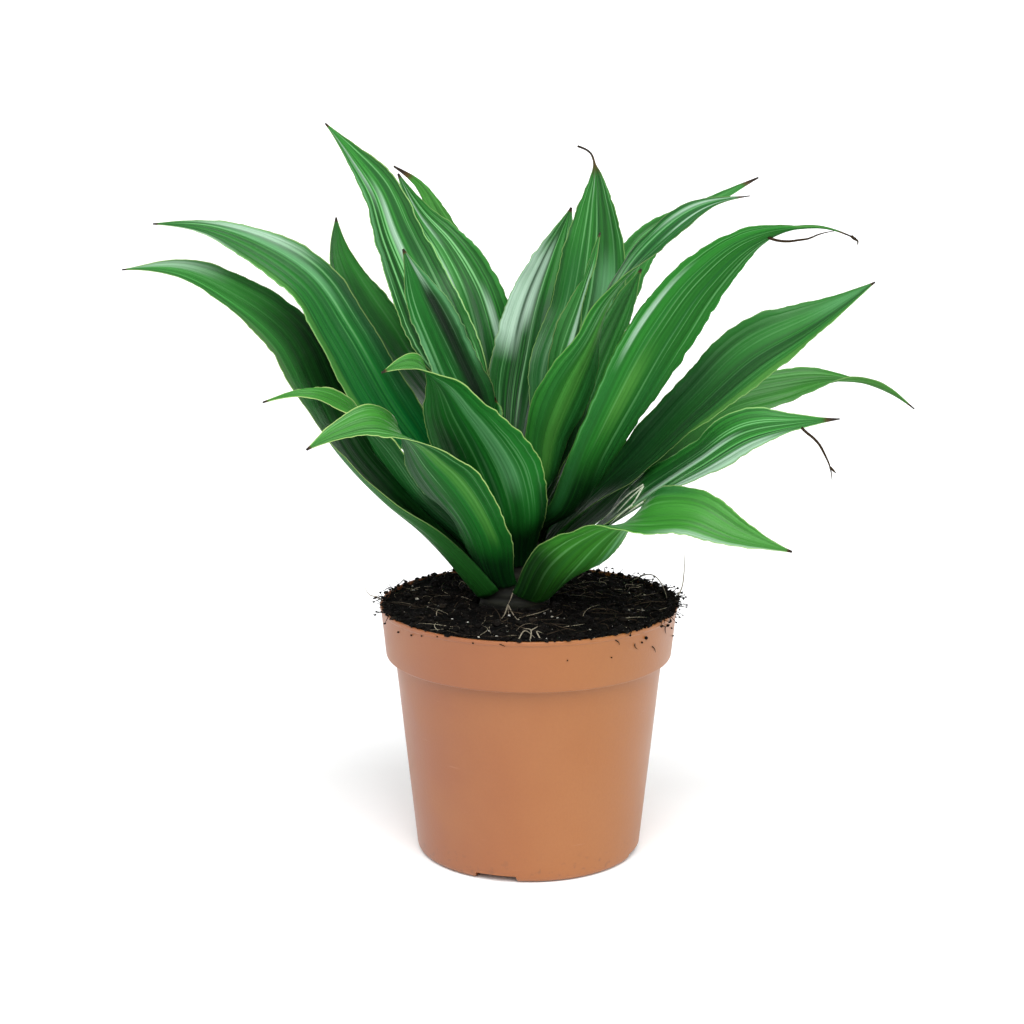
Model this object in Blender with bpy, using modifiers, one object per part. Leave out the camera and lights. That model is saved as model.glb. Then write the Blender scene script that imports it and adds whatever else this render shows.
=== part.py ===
"""A potted dracaena: a rosette of long channelled leaves in a plastic nursery pot.

Metres, +Z up. The origin is on the surface that the pot stands on, under the middle of the plant's
outline. The view that the leaves were laid out for looks along +Y, so -Y is the front.
"""

import math
from collections import namedtuple

import bmesh
import bpy
import numpy as np

MM = 0.001
TOUCH_GAP = 0.0003
# The middle point of a rounded foot edge lies this share of its radius in from the corner.
CORNER_SHARE = 0.3

# Pot
POT_HEIGHT = 0.111
RIM_RADIUS = 0.065
COLLAR_HEIGHT = 0.0225
COLLAR_LOW_RADIUS = 0.0624
BODY_TOP_RADIUS = 0.0582
BASE_RADIUS = 0.0492
POT_WALL = 0.0014
LIP_ROUND = 0.0006
COLLAR_STEP = 0.0018
FOOT_ROUND = 0.0026
FOOT_RING_WIDTH = 0.0060
FLOOR_UNDERSIDE = 0.0045
FLOOR_TOP = 0.0062
POT_SIDES = 48

# Cut-outs round the foot and holes in the floor
NOTCH_COUNT = 4
NOTCH_FIRST_ANGLE = math.radians(-107)
NOTCH_LOW_WIDTH = 0.0206
NOTCH_TOP_WIDTH = 0.0178
NOTCH_HEIGHT = 0.0028
NOTCH_DEPTH = 0.018
DRAIN_COUNT = 6
DRAIN_RADIUS = 0.004
DRAIN_CIRCLE = 0.027
DRAIN_SIDES = 12

# Soil
SOIL_TOP = 0.1118
SOIL_EDGE = 0.1096
SOIL_RINGS = 11
LUMP_HEIGHT = 0.0020
LUMP_SIZE = 0.012

# Stem: the short woody axis that the leaf bases hide
STEM_X = -0.006
STEM_LOW = 0.108
STEM_TOP = 0.170
STEM_LOW_RADIUS = 0.0165
STEM_TOP_RADIUS = 0.005
STEM_FOOT = 0.068
STEM_SIDES = 32
HOLE_HEADROOM = 0.02

# Leaves
BLADE_THICKNESS = 0.0008
BASE_CLEARANCE = 0.00035
ALONG = 16
ACROSS = 4
TIP_HALF_WIDTH = 0.0005
TAPER_POWER = 1.25
# Waves along both margins, out of step with each other and from leaf to leaf
WAVES = 2.5
WAVE_HEIGHT = 0.0016
WAVE_START = 0.35
WAVE_FADE = 0.2
WAVE_POWER = 1.6
WAVE_STEP = 1.9
WAVE_STEP_PER_DEGREE = 0.37

# A leaf leaves the stem at an azimuth and a height, leaning out by an angle in degrees, and is
# "width" wide at its widest. Its midrib then follows route points (out, sway, up, roll): distance
# out from the stem's axis, sideways to the left of that, height over the ground, all in
# millimetres, and the blade's roll in degrees about the midrib. "channel" is half the angle of the
# arc that the blade's section makes, "wrap" the same where it clasps the stem. The blade opens over
# the share "spread" of its length, and keeps its width longer towards the tip with a higher "full".
# Its last share, "tail", is dried to a thread.
Leaf = namedtuple(
    "Leaf",
    "name azimuth height lean width route channel wrap full spread tail",
    defaults=(26, 50, 3.4, 0.45, 0),
)

LEAVES = (
    Leaf("leaf_left_low", 187, 114, 40, 43, (
        (39, -8, 141, -8), (55, -13, 156, -16), (71, -17, 174, -20), (84, -18, 199, -28),
        (97, -20, 226, -42), (119, -22, 244, -45), (142, -22, 255, -35), (165, -20, 256, -20),
    ), channel=32, wrap=66),
    Leaf("leaf_curl_left", 212, 125, 27, 37, (
        (42, -13, 160, 0), (61, -14, 186, -5), (75, -13, 202, -22), (89, -13, 209, -32),
        (109, -21, 206, -35),
    ), wrap=36, full=2.0),
    Leaf("leaf_curl_middle", 232, 120.5, 31, 42, (
        (46, 9, 159, 0), (66, 6, 182, 0), (78, 3, 197, -22), (89, -2, 203, -50),
        (100, -10, 200, -56), (110, -19, 193, -55),
    ), wrap=42),
    Leaf("leaf_curl_front", 252, 129.5, 20, 51, (
        (33, 3, 159, 0), (46, -2, 184, 0), (56, -7, 201, -5), (64, -13, 218, -40),
        (71, -20, 225, -66), (77, -31, 222, -62),
    ), wrap=60),
    Leaf("leaf_left_high", 178, 127, 28, 34, (
        (37, 0, 171, -12), (56, 0, 196, -35), (74, 0, 228, -50), (89, 0, 251, -50),
        (107, 1, 264, -50), (129, 2, 273, -45), (153, 2, 275, -30),
    ), wrap=42),
    Leaf("leaf_left_rear", 162, 137, 20, 33, (
        (44, -18, 191, -3), (66, -20, 217, -20), (83, -21, 242, -25), (90, -21, 260, -25),
        (90, -21, 274, -25),
    ), full=7),
    Leaf("leaf_left_inner", 176, 158, 12, 28, (
        (16, 3, 192, -20), (28, 2, 218, -45), (39, 3, 243, -50), (47, 5, 265, -50),
    ), full=5),
    Leaf("leaf_left_tall", 156, 148.5, 16, 32, (
        (20, -4, 189, -10), (38, -7, 221, -35), (52, -8, 250, -40), (60, -6, 268, -38),
        (67, -3, 288, -32), (75, 3, 302, -25), (84, 11, 316, -20),
    ), full=4.5),
    Leaf("leaf_rear_left", 128, 146, 16, 40, (
        (25, -6, 187, 0), (41, -13, 218, -10), (51, -12, 242, -15), (60, -7, 260, -20),
        (68, 1, 275, -25), (71, 10, 293, -30),
    )),
    Leaf("leaf_rear_arch", 106, 140.5, 18, 20, (
        (49, -2, 192, 0), (70, -1, 226, 0), (82, 4, 251, 0), (91, 11, 272, 0),
        (95, 18, 285, 0), (96, 30, 294, 0),
    )),
    Leaf("leaf_centre_wide", 98, 153, 9, 42, (
        (19, -6, 184, 0), (29, -12, 209, 0), (38, -18, 235, 0), (43, -23, 251, 0),
        (47, -28, 266, 0), (48, -32, 278, 0),
    ), full=4),
    Leaf("leaf_centre_tall", 72, 161, 8, 34, (
        (14, -12, 185, 0), (22, -16, 211, 0), (31, -23, 236, 0), (36, -25, 259, 0),
        (38, -25, 281, 0), (38, -24, 297, 0), (38, -22, 303, 0), (38, -16, 306, 0),
    ), wrap=44, full=6, tail=0.07),
    Leaf("leaf_centre_strip", 40, 166, 8, 16, (
        (10, -13, 188, 0), (17, -11, 218, 0), (25, -13, 241, 0), (29, -16, 257, 0),
        (33, -17, 271, 0),
    )),
    Leaf("leaf_right_rear", 38, 143, 18, 22, (
        (35, 6, 182, 20), (54, 13, 211, 30), (70, 16, 236, 30), (85, 12, 261, 30),
        (106, 1, 276, 25), (128, -14, 290, 20),
    )),
    Leaf("leaf_right_short", 8, 146, 16, 24, (
        (23, -12, 184, 10), (32, -13, 212, 30), (41, -12, 233, 40), (52, -12, 257, 40),
    ), wrap=28, full=5),
    Leaf("leaf_right_twist", 300, 157, 8, 30, (
        (20, 0, 164, -5), (30, 0, 190, -10), (40, 3, 211, 0), (48, 9, 231, 25),
        (53, 14, 248, 48), (63, 27, 270, 80), (72, 44, 285, 85), (80, 63, 290, 60),
    ), wrap=34),
    Leaf("leaf_right_long", 322, 139.5, 18, 35, (
        (33, -3, 157, -10), (49, -6.5, 184, -30), (64, -8, 208, -42), (80, -5.5, 236, -48),
        (95, -1, 258, -48), (110, 7, 273, -48), (124, 20, 279, -20), (134, 28, 279, 0),
        (143, 35, 275, 0),
    ), full=5, spread=0.9, tail=0.11),
    Leaf("leaf_right_broad", 358, 131, 26, 38, (
        (31, -1, 153, 8), (53, -2, 173, 22), (78, -3, 199, 38), (100, -3, 220, 45),
        (125, -4, 234.5, 40), (151, -5, 252, 30),
    ), wrap=40, full=5, spread=0.8),
    Leaf("leaf_right_arch", 18, 126, 36, 26, (
        (45, 0, 152, 10), (74, 5, 175, 30), (101, 7, 192, 40), (127, 5, 198, 38),
        (155, 0, 201, 0), (171, -5, 198, -25), (186, -10, 188, -30),
    ), wrap=36),
    Leaf("leaf_right_low", 340, 120.5, 38, 42, (
        (42, -6, 148, 0), (64, -8, 165, 12), (85, -10, 180, 24), (104, -9, 193, 38),
        (123, -6, 198, 35), (141, -2, 201, 20),
    ), wrap=42),
    Leaf("leaf_front_right", 320, 114, 44, 36, (
        (39, -10, 134, -28), (57, -14, 150, -18), (73, -18, 160, 2), (89, -19, 166, 34),
        (106, -18, 168.5, 38), (124, -13, 162, 36), (143, -2, 156, 32),
    ), wrap=60),
    Leaf("leaf_back_low", 92, 113.6, 42, 36, (
        (30, 0, 132, 0), (54, 2, 143, 0), (76, 4, 143, 0), (94, 6, 131, 0),
    )),
    Leaf("leaf_back_left", 136, 122, 34, 32, (
        (34, 0, 146, 0), (58, -4, 168, 0), (86, -10, 176, 0), (110, -18, 164, 0),
    ), wrap=36),
    Leaf("leaf_back_right", 66, 117, 36, 32, (
        (32, 2, 141, 0), (54, 5, 158, 0), (76, 8, 166, 0), (98, 12, 158, 0),
    )),
    Leaf("leaf_back_high", 106, 130.5, 26, 34, (
        (32, 5, 155, 0), (54, 9, 180, 0), (75, 13, 195, 0), (93, 16, 194, 0),
    ), wrap=40),
    Leaf("leaf_back_high_right", 60, 134, 24, 32, (
        (30, -2, 164, 0), (52, -4, 194, 0), (78, -6, 212, 0), (104, -8, 208, 0),
    )),
    Leaf("leaf_bud", 200, 168, 4, 12, (
        (7, 0, 181, 0), (8, 0, 191, 0), (9, 0, 202, 0),
    )),
)


def clear_scene():
    for obj in list(bpy.data.objects):
        bpy.data.objects.remove(obj)


def new_collection(name):
    collection = bpy.data.collections.new(name)
    bpy.context.scene.collection.children.link(collection)
    return collection


def new_material(name, color, roughness, specular=0.5):
    material = bpy.data.materials.new(name)
    material.use_nodes = True
    surface = material.node_tree.nodes["Principled BSDF"]
    surface.inputs["Base Color"].default_value = (*color, 1)
    surface.inputs["Roughness"].default_value = roughness
    surface.inputs["Specular IOR Level"].default_value = specular
    surface.inputs["Metallic"].default_value = 0
    material.diffuse_color = (*color, 1)
    return material


def add_object(name, mesh, collection, material=None):
    obj = bpy.data.objects.new(name, mesh)
    collection.objects.link(obj)
    if material:
        mesh.materials.append(material)
    return obj


def turned(name, profile, sides, collection, material=None):
    """A solid of revolution about its own Z from (radius, height) points, from the axis round
    the outside, top to bottom, and back to the axis."""
    mesh = bpy.data.meshes.new(name)
    points = [(radius, 0, height) for radius, height in profile]
    mesh.from_pydata(points, [(i, i + 1) for i in range(len(points) - 1)], [])
    obj = add_object(name, mesh, collection, material)
    screw = obj.modifiers.new("turn", "SCREW")
    screw.axis = "Z"
    screw.steps = sides
    screw.render_steps = sides
    screw.use_merge_vertices = True
    screw.merge_threshold = 0.00005
    screw.use_smooth_shade = True
    return obj


def as_cutter(obj):
    obj.hide_render = True
    obj.display_type = "WIRE"
    return obj


def cut(target, cutter):
    boolean = target.modifiers.new("cut " + cutter.name, "BOOLEAN")
    boolean.operation = "DIFFERENCE"
    boolean.solver = "EXACT"
    boolean.object = cutter


def pot_inside():
    """The pot's inner outline from the middle of its floor up to the rim."""
    shoulder = POT_HEIGHT - COLLAR_HEIGHT
    return [
        (0, FLOOR_TOP),
        (BASE_RADIUS - POT_WALL - 2 * POT_WALL, FLOOR_TOP),
        (BASE_RADIUS - POT_WALL, FLOOR_TOP + 2 * POT_WALL),
        (BODY_TOP_RADIUS - POT_WALL, shoulder - COLLAR_STEP),
        (COLLAR_LOW_RADIUS - POT_WALL, shoulder + POT_WALL),
        (RIM_RADIUS - POT_WALL, POT_HEIGHT),
    ]


def pot_outside():
    """The pot's outer outline from the rim down to the middle of its underside."""
    shoulder = POT_HEIGHT - COLLAR_HEIGHT
    return [
        (RIM_RADIUS - LIP_ROUND / 2, POT_HEIGHT),
        (RIM_RADIUS, POT_HEIGHT - LIP_ROUND),
        (COLLAR_LOW_RADIUS, shoulder + LIP_ROUND),
        (COLLAR_LOW_RADIUS - LIP_ROUND, shoulder),
        (BODY_TOP_RADIUS, shoulder - COLLAR_STEP),
        (BASE_RADIUS, FOOT_ROUND),
        (BASE_RADIUS - CORNER_SHARE * FOOT_ROUND, CORNER_SHARE * FOOT_ROUND),
        (BASE_RADIUS - FOOT_ROUND, 0),
        (BASE_RADIUS - FOOT_RING_WIDTH, 0),
        (BASE_RADIUS - FOOT_RING_WIDTH, FLOOR_UNDERSIDE),
        (0, FLOOR_UNDERSIDE),
    ]


def notch_cutter(index, collection):
    """A block with a trapezoid front, set across the foot ring."""
    name = f"notch_cutter_{index + 1}"
    bm = bmesh.new()
    bmesh.ops.create_cube(bm, size=1)
    for vert in bm.verts:
        width = NOTCH_TOP_WIDTH if vert.co.z > 0 else NOTCH_LOW_WIDTH
        vert.co.x *= NOTCH_DEPTH
        vert.co.y *= width
        vert.co.z *= 2 * NOTCH_HEIGHT
    mesh = bpy.data.meshes.new(name)
    bm.to_mesh(mesh)
    bm.free()
    cutter = as_cutter(add_object(name, mesh, collection))
    angle = NOTCH_FIRST_ANGLE + index * math.tau / NOTCH_COUNT
    cutter.location = (BASE_RADIUS * math.cos(angle), BASE_RADIUS * math.sin(angle), 0)
    cutter.rotation_euler = (0, 0, angle)
    return cutter


def drain_cutter(index, collection):
    name = f"drain_cutter_{index + 1}"
    top = 2 * FLOOR_TOP
    profile = [(0, top), (DRAIN_RADIUS, top), (DRAIN_RADIUS, 0), (0, 0)]
    cutter = as_cutter(turned(name, profile, DRAIN_SIDES, collection))
    angle = index * math.tau / DRAIN_COUNT
    cutter.location = (DRAIN_CIRCLE * math.cos(angle), DRAIN_CIRCLE * math.sin(angle), 0)
    return cutter


def make_pot(parts, cutters):
    plastic = new_material("pot_plastic", (0.50, 0.20, 0.092), 0.35)
    pot = turned("pot", pot_inside() + pot_outside(), POT_SIDES, parts, plastic)
    for index in range(NOTCH_COUNT):
        cut(pot, notch_cutter(index, cutters))
    for index in range(DRAIN_COUNT):
        cut(pot, drain_cutter(index, cutters))
    return pot


def soil_profile():
    """The soil's outline: its mounded top from the middle out, then down the pot's inside."""
    inside = [(max(r - TOUCH_GAP, 0), z + TOUCH_GAP) for r, z in pot_inside()[:-1]]
    low_radius, low_height = inside[-1]
    rise = (SOIL_EDGE - low_height) / (POT_HEIGHT - low_height)
    edge = low_radius + rise * (RIM_RADIUS - COLLAR_LOW_RADIUS)
    top = []
    for ring in range(SOIL_RINGS + 1):
        share = ring / SOIL_RINGS
        top.append((edge * share, SOIL_TOP - (SOIL_TOP - SOIL_EDGE) * share**3))
    return top + inside[::-1]


def make_soil(parts, cutters):
    peat = new_material("soil_peat", (0.020, 0.013, 0.009), 0.95, 0.2)
    soil = turned("soil", soil_profile(), POT_SIDES, parts, peat)
    top = soil.vertex_groups.new(name="top")
    top.add(list(range(SOIL_RINGS)), 1, "REPLACE")
    clouds = bpy.data.textures.new("soil_lumps", "CLOUDS")
    clouds.noise_scale = LUMP_SIZE
    lumps = soil.modifiers.new("lumps", "DISPLACE")
    lumps.texture = clouds
    lumps.texture_coords = "LOCAL"
    lumps.direction = "Z"
    lumps.mid_level = 0.5
    lumps.strength = LUMP_HEIGHT
    lumps.vertex_group = top.name
    hole = STEM_LOW_RADIUS + TOUCH_GAP
    hole_floor = STEM_FOOT - TOUCH_GAP
    hole_top = SOIL_TOP + HOLE_HEADROOM
    profile = [(0, hole_top), (hole, hole_top), (hole, hole_floor), (0, hole_floor)]
    cutter = as_cutter(turned("stem_hole_cutter", profile, STEM_SIDES, cutters))
    cutter.location.x = STEM_X
    cut(soil, cutter)
    return soil


def make_stem(parts):
    bark = new_material("stem_bark", (0.20, 0.16, 0.08), 0.8, 0.3)
    profile = [
        (0, STEM_TOP),
        (STEM_TOP_RADIUS, STEM_TOP),
        (STEM_LOW_RADIUS, STEM_LOW),
        (STEM_LOW_RADIUS, STEM_FOOT + CORNER_SHARE * STEM_LOW_RADIUS),
        (STEM_LOW_RADIUS - CORNER_SHARE * STEM_LOW_RADIUS, STEM_FOOT),
        (0, STEM_FOOT),
    ]
    stem = turned("stem", profile, STEM_SIDES, parts, bark)
    stem.location.x = STEM_X
    return stem


def smooth(share):
    share = np.clip(share, 0, 1)
    return share * share * (3 - 2 * share)


def stem_radius(height):
    share = (height - STEM_LOW) / (STEM_TOP - STEM_LOW)
    return STEM_LOW_RADIUS + (STEM_TOP_RADIUS - STEM_LOW_RADIUS) * min(max(share, 0), 1)


def curve_through(rows, first_slope, count):
    """"count" rows along a smooth curve through the given rows, spaced evenly by length. The first
    three columns are a place, and the others, such as the roll, are carried along with it."""
    chords = np.linalg.norm(np.diff(rows[:, :3], axis=0), axis=1)
    knots = np.concatenate([[0], np.cumsum(chords)])
    slopes = np.zeros_like(rows)
    slopes[0, :3] = first_slope
    for i in range(1, len(rows) - 1):
        before = (rows[i] - rows[i - 1]) / chords[i - 1]
        after = (rows[i + 1] - rows[i]) / chords[i]
        slopes[i] = (chords[i] * before + chords[i - 1] * after) / (chords[i - 1] + chords[i])
    slopes[-1] = 1.5 * (rows[-1] - rows[-2]) / chords[-1] - 0.5 * slopes[-2]
    at = np.linspace(0, knots[-1], count)
    span = np.clip(np.searchsorted(knots, at, side="right") - 1, 0, len(chords) - 1)
    length = chords[span][:, None]
    t = ((at - knots[span]) / chords[span])[:, None]
    return (
        (2 * t**3 - 3 * t**2 + 1) * rows[span]
        + (t**3 - 2 * t**2 + t) * slopes[span] * length
        + (3 * t**2 - 2 * t**3) * rows[span + 1]
        + (t**3 - t**2) * slopes[span + 1] * length
    )


def midrib(leaf, along):
    """Points, directions, side vectors and up vectors down a leaf's midrib."""
    azimuth = math.radians(leaf.azimuth)
    lean = math.radians(leaf.lean)
    out = np.array([math.cos(azimuth), math.sin(azimuth), 0])
    across = np.array([-math.sin(azimuth), math.cos(azimuth), 0])
    upright = np.array([0, 0, 1])
    axis = np.array([STEM_X, 0, 0])
    start = out * math.sin(lean) + upright * math.cos(lean)
    foot = axis + out * base_radius(leaf) + upright * leaf.height * MM
    rows = [np.append(foot, 0)]
    for reach, sway, height, roll in leaf.route:
        point = axis + MM * (out * reach + across * sway + upright * height)
        rows.append(np.append(point, math.radians(roll)))
    curve = curve_through(np.array(rows), start, along + 1)
    points = curve[:, :3]
    roll = curve[:, 3:]
    forward = np.gradient(points, axis=0)
    forward /= np.linalg.norm(forward, axis=1)[:, None]
    forward[0] = start
    side = np.zeros_like(points)
    carried = across
    for i in range(along + 1):
        carried = carried - (carried @ forward[i]) * forward[i]
        carried = carried / np.linalg.norm(carried)
        side[i] = carried
    up = np.cross(forward, side)
    rolled_side = side * np.cos(roll) + up * np.sin(roll)
    rolled_up = up * np.cos(roll) - side * np.sin(roll)
    return points, rolled_side, rolled_up


def base_radius(leaf):
    return stem_radius(leaf.height * MM) + BASE_CLEARANCE + BLADE_THICKNESS / 2


def blade_points(leaf, along, across):
    """The middle surface of a leaf, as (along + 1) rows of (across + 1) points."""
    points, side, up = midrib(leaf, along)
    t = np.linspace(0, 1, along + 1)
    u = np.linspace(-1, 1, across + 1)[None, :]
    spread = smooth(t / leaf.spread)
    wrap = math.radians(leaf.wrap)
    base_half = base_radius(leaf) * wrap
    full_half = leaf.width * MM / 2
    green = np.minimum(t / (1 - leaf.tail), 1)
    taper = (1 - green**leaf.full) ** TAPER_POWER
    half = (base_half + (full_half - base_half) * spread) * taper + TIP_HALF_WIDTH
    half[0] = base_half
    half = half[:, None]
    bend = (wrap + (math.radians(leaf.channel) - wrap) * spread)[:, None]
    sideways = half * np.sin(bend * u) / bend
    lift = half * (1 - np.cos(bend * u)) / bend
    strength = (smooth(t / WAVE_START) * smooth((1 - t) / WAVE_FADE))[:, None]
    phase = np.where(u < 0, 0, WAVE_STEP) + WAVE_STEP_PER_DEGREE * leaf.azimuth
    ripple = np.sin(math.tau * WAVES * t[:, None] + phase)
    lift = lift + WAVE_HEIGHT * strength * np.abs(u) ** WAVE_POWER * ripple
    return (
        points[:, None, :]
        + side[:, None, :] * sideways[..., None]
        + up[:, None, :] * lift[..., None]
    )


def make_leaf(leaf, parts, material):
    """A grid laid on the blade's middle surface, split into triangles and given its thickness."""
    surface = blade_points(leaf, ALONG, ACROSS)
    bm = bmesh.new()
    bmesh.ops.create_grid(bm, x_segments=ALONG, y_segments=ACROSS, size=1)
    for vert in bm.verts:
        row = round((vert.co.x + 1) / 2 * ALONG)
        column = round((vert.co.y + 1) / 2 * ACROSS)
        vert.co = surface[row, column]
    bmesh.ops.triangulate(bm, faces=bm.faces, quad_method="SHORT_EDGE")
    mesh = bpy.data.meshes.new(leaf.name)
    bm.to_mesh(mesh)
    bm.free()
    mesh.shade_smooth()
    obj = add_object(leaf.name, mesh, parts, material)
    solidify = obj.modifiers.new("thickness", "SOLIDIFY")
    solidify.thickness = BLADE_THICKNESS
    solidify.offset = 0
    return obj


def main():
    clear_scene()
    parts = new_collection("potted_dracaena")
    cutters = new_collection("cutters")
    make_pot(parts, cutters)
    make_soil(parts, cutters)
    make_stem(parts)
    leaf_green = new_material("leaf_green", (0.045, 0.17, 0.045), 0.35)
    for leaf in LEAVES:
        make_leaf(leaf, parts, leaf_green)


main()
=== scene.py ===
import random
from collections import namedtuple
from math import ceil, cos, hypot, pi, radians, sin, sqrt, tau

import bmesh
import bpy
import numpy as np
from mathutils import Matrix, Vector, noise


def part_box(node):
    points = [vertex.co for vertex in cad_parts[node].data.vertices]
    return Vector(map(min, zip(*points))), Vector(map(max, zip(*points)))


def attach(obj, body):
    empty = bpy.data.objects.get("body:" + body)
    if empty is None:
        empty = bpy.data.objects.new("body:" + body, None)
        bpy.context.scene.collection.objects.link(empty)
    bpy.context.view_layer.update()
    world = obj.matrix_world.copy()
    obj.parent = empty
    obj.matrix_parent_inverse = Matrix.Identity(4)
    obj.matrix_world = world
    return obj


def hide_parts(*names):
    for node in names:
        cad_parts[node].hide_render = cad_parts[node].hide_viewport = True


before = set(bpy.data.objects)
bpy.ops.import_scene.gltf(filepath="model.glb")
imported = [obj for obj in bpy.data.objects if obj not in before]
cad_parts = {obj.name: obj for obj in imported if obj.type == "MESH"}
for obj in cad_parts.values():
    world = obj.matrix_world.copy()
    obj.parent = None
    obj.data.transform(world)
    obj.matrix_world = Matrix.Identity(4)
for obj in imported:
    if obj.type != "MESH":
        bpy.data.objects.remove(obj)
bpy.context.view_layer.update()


def srgb(red, green, blue):
    """A screen colour, 0 to 255 each, as linear light."""
    linear = []
    for value in (red / 255, green / 255, blue / 255):
        linear.append(value / 12.92 if value <= 0.04045 else ((value + 0.055) / 1.055) ** 2.4)
    return (*linear, 1.0)


# Sizes are in metres and angles in degrees, unless a comment or a name says otherwise.
MM = 0.001
UP = np.array([0, 0, 1])

# Pot: its height and its rim come from the frame
RIM_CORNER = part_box("pot")[1]
RIM_RADIUS = round(RIM_CORNER.x, 4)
POT_HEIGHT = round(RIM_CORNER.z, 4)
COLLAR_HEIGHT = 0.0225
SHOULDER = POT_HEIGHT - COLLAR_HEIGHT
COLLAR_LOW_RADIUS = 0.0624
BODY_TOP_RADIUS = 0.0582
BASE_RADIUS = 0.0492
POT_WALL = 0.0014
LIP_HEIGHT = 0.0016
LIP_STEP = 0.0005
COLLAR_STEP = 0.0018
FOOT_ROUND = 0.0026
FOOT_RING_WIDTH = 0.0060
FLOOR_UNDERSIDE = 0.0045
FLOOR_TOP = 0.0062
POT_SIDES = 192
POT_STEP = 0.004
SHARP_EDGE = 38  # edges with a sharper turn are shaded as edges
NOTCH_COUNT = 4
NOTCH_FIRST_ANGLE = -107  # round +Z from +X, so the photo's cut-out is at the front
NOTCH_LOW_WIDTH = 0.0206
NOTCH_TOP_WIDTH = 0.0178
NOTCH_HEIGHT = 0.0028
NOTCH_INWARD = 0.010
NOTCH_OUTWARD = 0.006
DRAIN_COUNT = 6
DRAIN_RADIUS = 0.004
DRAIN_CIRCLE = 0.027
DRAIN_SIDES = 32

# Soil
TOUCH_GAP = 0.0003
SOIL_TOP = 0.1118
SOIL_EDGE = 0.1096
SOIL_CORNER = 0.0031
SOIL_EDGE_SHARE = 0.93
SOIL_RINGS = 110
SOIL_SECTORS = 260
CALM_FROM = 0.9  # share of the rim's radius from which the bumps grow lower
CALM_SHARE = 0.55  # share of their height that they have lost at the rim
SOIL_CREASE = 60

# The peat's bumps: how many in a metre, and how high
SWELL_RATE = 85
SWELL_HEIGHT = 0.0010
LUMP_RATE = 260
LUMP_HEIGHT = 0.0011
GRAIN_RATE = 900
GRAIN_HEIGHT = 0.00028

# Stem
STEM_X = -0.006
STEM_LOW = 0.108
STEM_TOP = 0.170
STEM_LOW_RADIUS = 0.0165
STEM_TOP_RADIUS = 0.005
STEM_FOOT = 0.068
STEM_STEP = 0.0007
STEM_SIDES = 72
SCAR_RATE = 820  # radians of the scars' wave in a metre of height
SCAR_DEPTH = 0.0005
BARK_DEPTH = 0.00025

# Leaves
BLADE_THICKNESS = 0.0008
EDGE_SHARE = 0.3  # of the thickness, at the margins
TIP_THINNING = 0.5  # of the thickness, lost at the tip
BASE_CLEARANCE = 0.00035
ALONG = 120  # faces down a blade
ACROSS = 32
WAVES = 2.5  # of the margins, in a blade's length
WAVE_HEIGHT = 0.0016
WAVE_START = 0.35  # share of the length over which they begin
WAVE_FADE = 0.2  # and over which they end
WAVE_POWER = 1.6
WAVE_STEP = 1.9  # radians between the two margins' waves
WAVE_STEP_PER_DEGREE = 0.37  # and from leaf to leaf, by azimuth
FLUTTER_RATE = 3.3  # small waves to each large one
FLUTTER_STEP = 2.3
FLUTTER_SHARE = 0.2
FLUTTER_POWER = 5
TIP_HALF_WIDTH = 0.0005
TAPER_POWER = 1.25
RIB_SPACING = 0.0055
RIB_HEIGHT = 0.00016
SECOND_RIB_RATE = 1.7  # finer ribs to each broad one
SECOND_RIB_SHARE = 0.6
GROOVE_DEPTH = 0.0004
GROOVE_WIDTH = 0.05  # of the half width
EDGE_NIBBLE = 0.0007
NIBBLES = 34  # down a margin
NIBBLE_POWER = 6

# Veins and bands on a blade, as widths in millimetres
FINE_VEIN = 0.8
BROAD_VEIN = 2.0
BAND = 7

# Marks of painted light on a blade, highlights and shade alike: how softly they end, how wide their
# even middle is, and how deep their tint
MARK_EASE = 0.06
MARK_CORE = 0.25
MARK_DEPTH = 0.62

# A leaf leaves the stem at an azimuth and a height, leaning out by an angle in degrees, and is
# "width" wide at its widest. Its midrib then follows route points (out, sway, up, roll): distance
# out from the stem's axis, sideways to the left of that, height over the ground, all in
# millimetres, and the blade's roll in degrees about the midrib. "channel" is half the angle of the
# arc that the blade's section makes, "wrap" the same where it clasps the stem. The blade opens over
# the share "spread" of its length, and keeps its width longer towards the tip with a higher "full".
# Its last share, "tail", is dried to a thread.
Leaf = namedtuple(
    "Leaf",
    "name azimuth height lean width route channel wrap full spread tail",
    defaults=(26, 50, 3.4, 0.45, 0),
)

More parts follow.
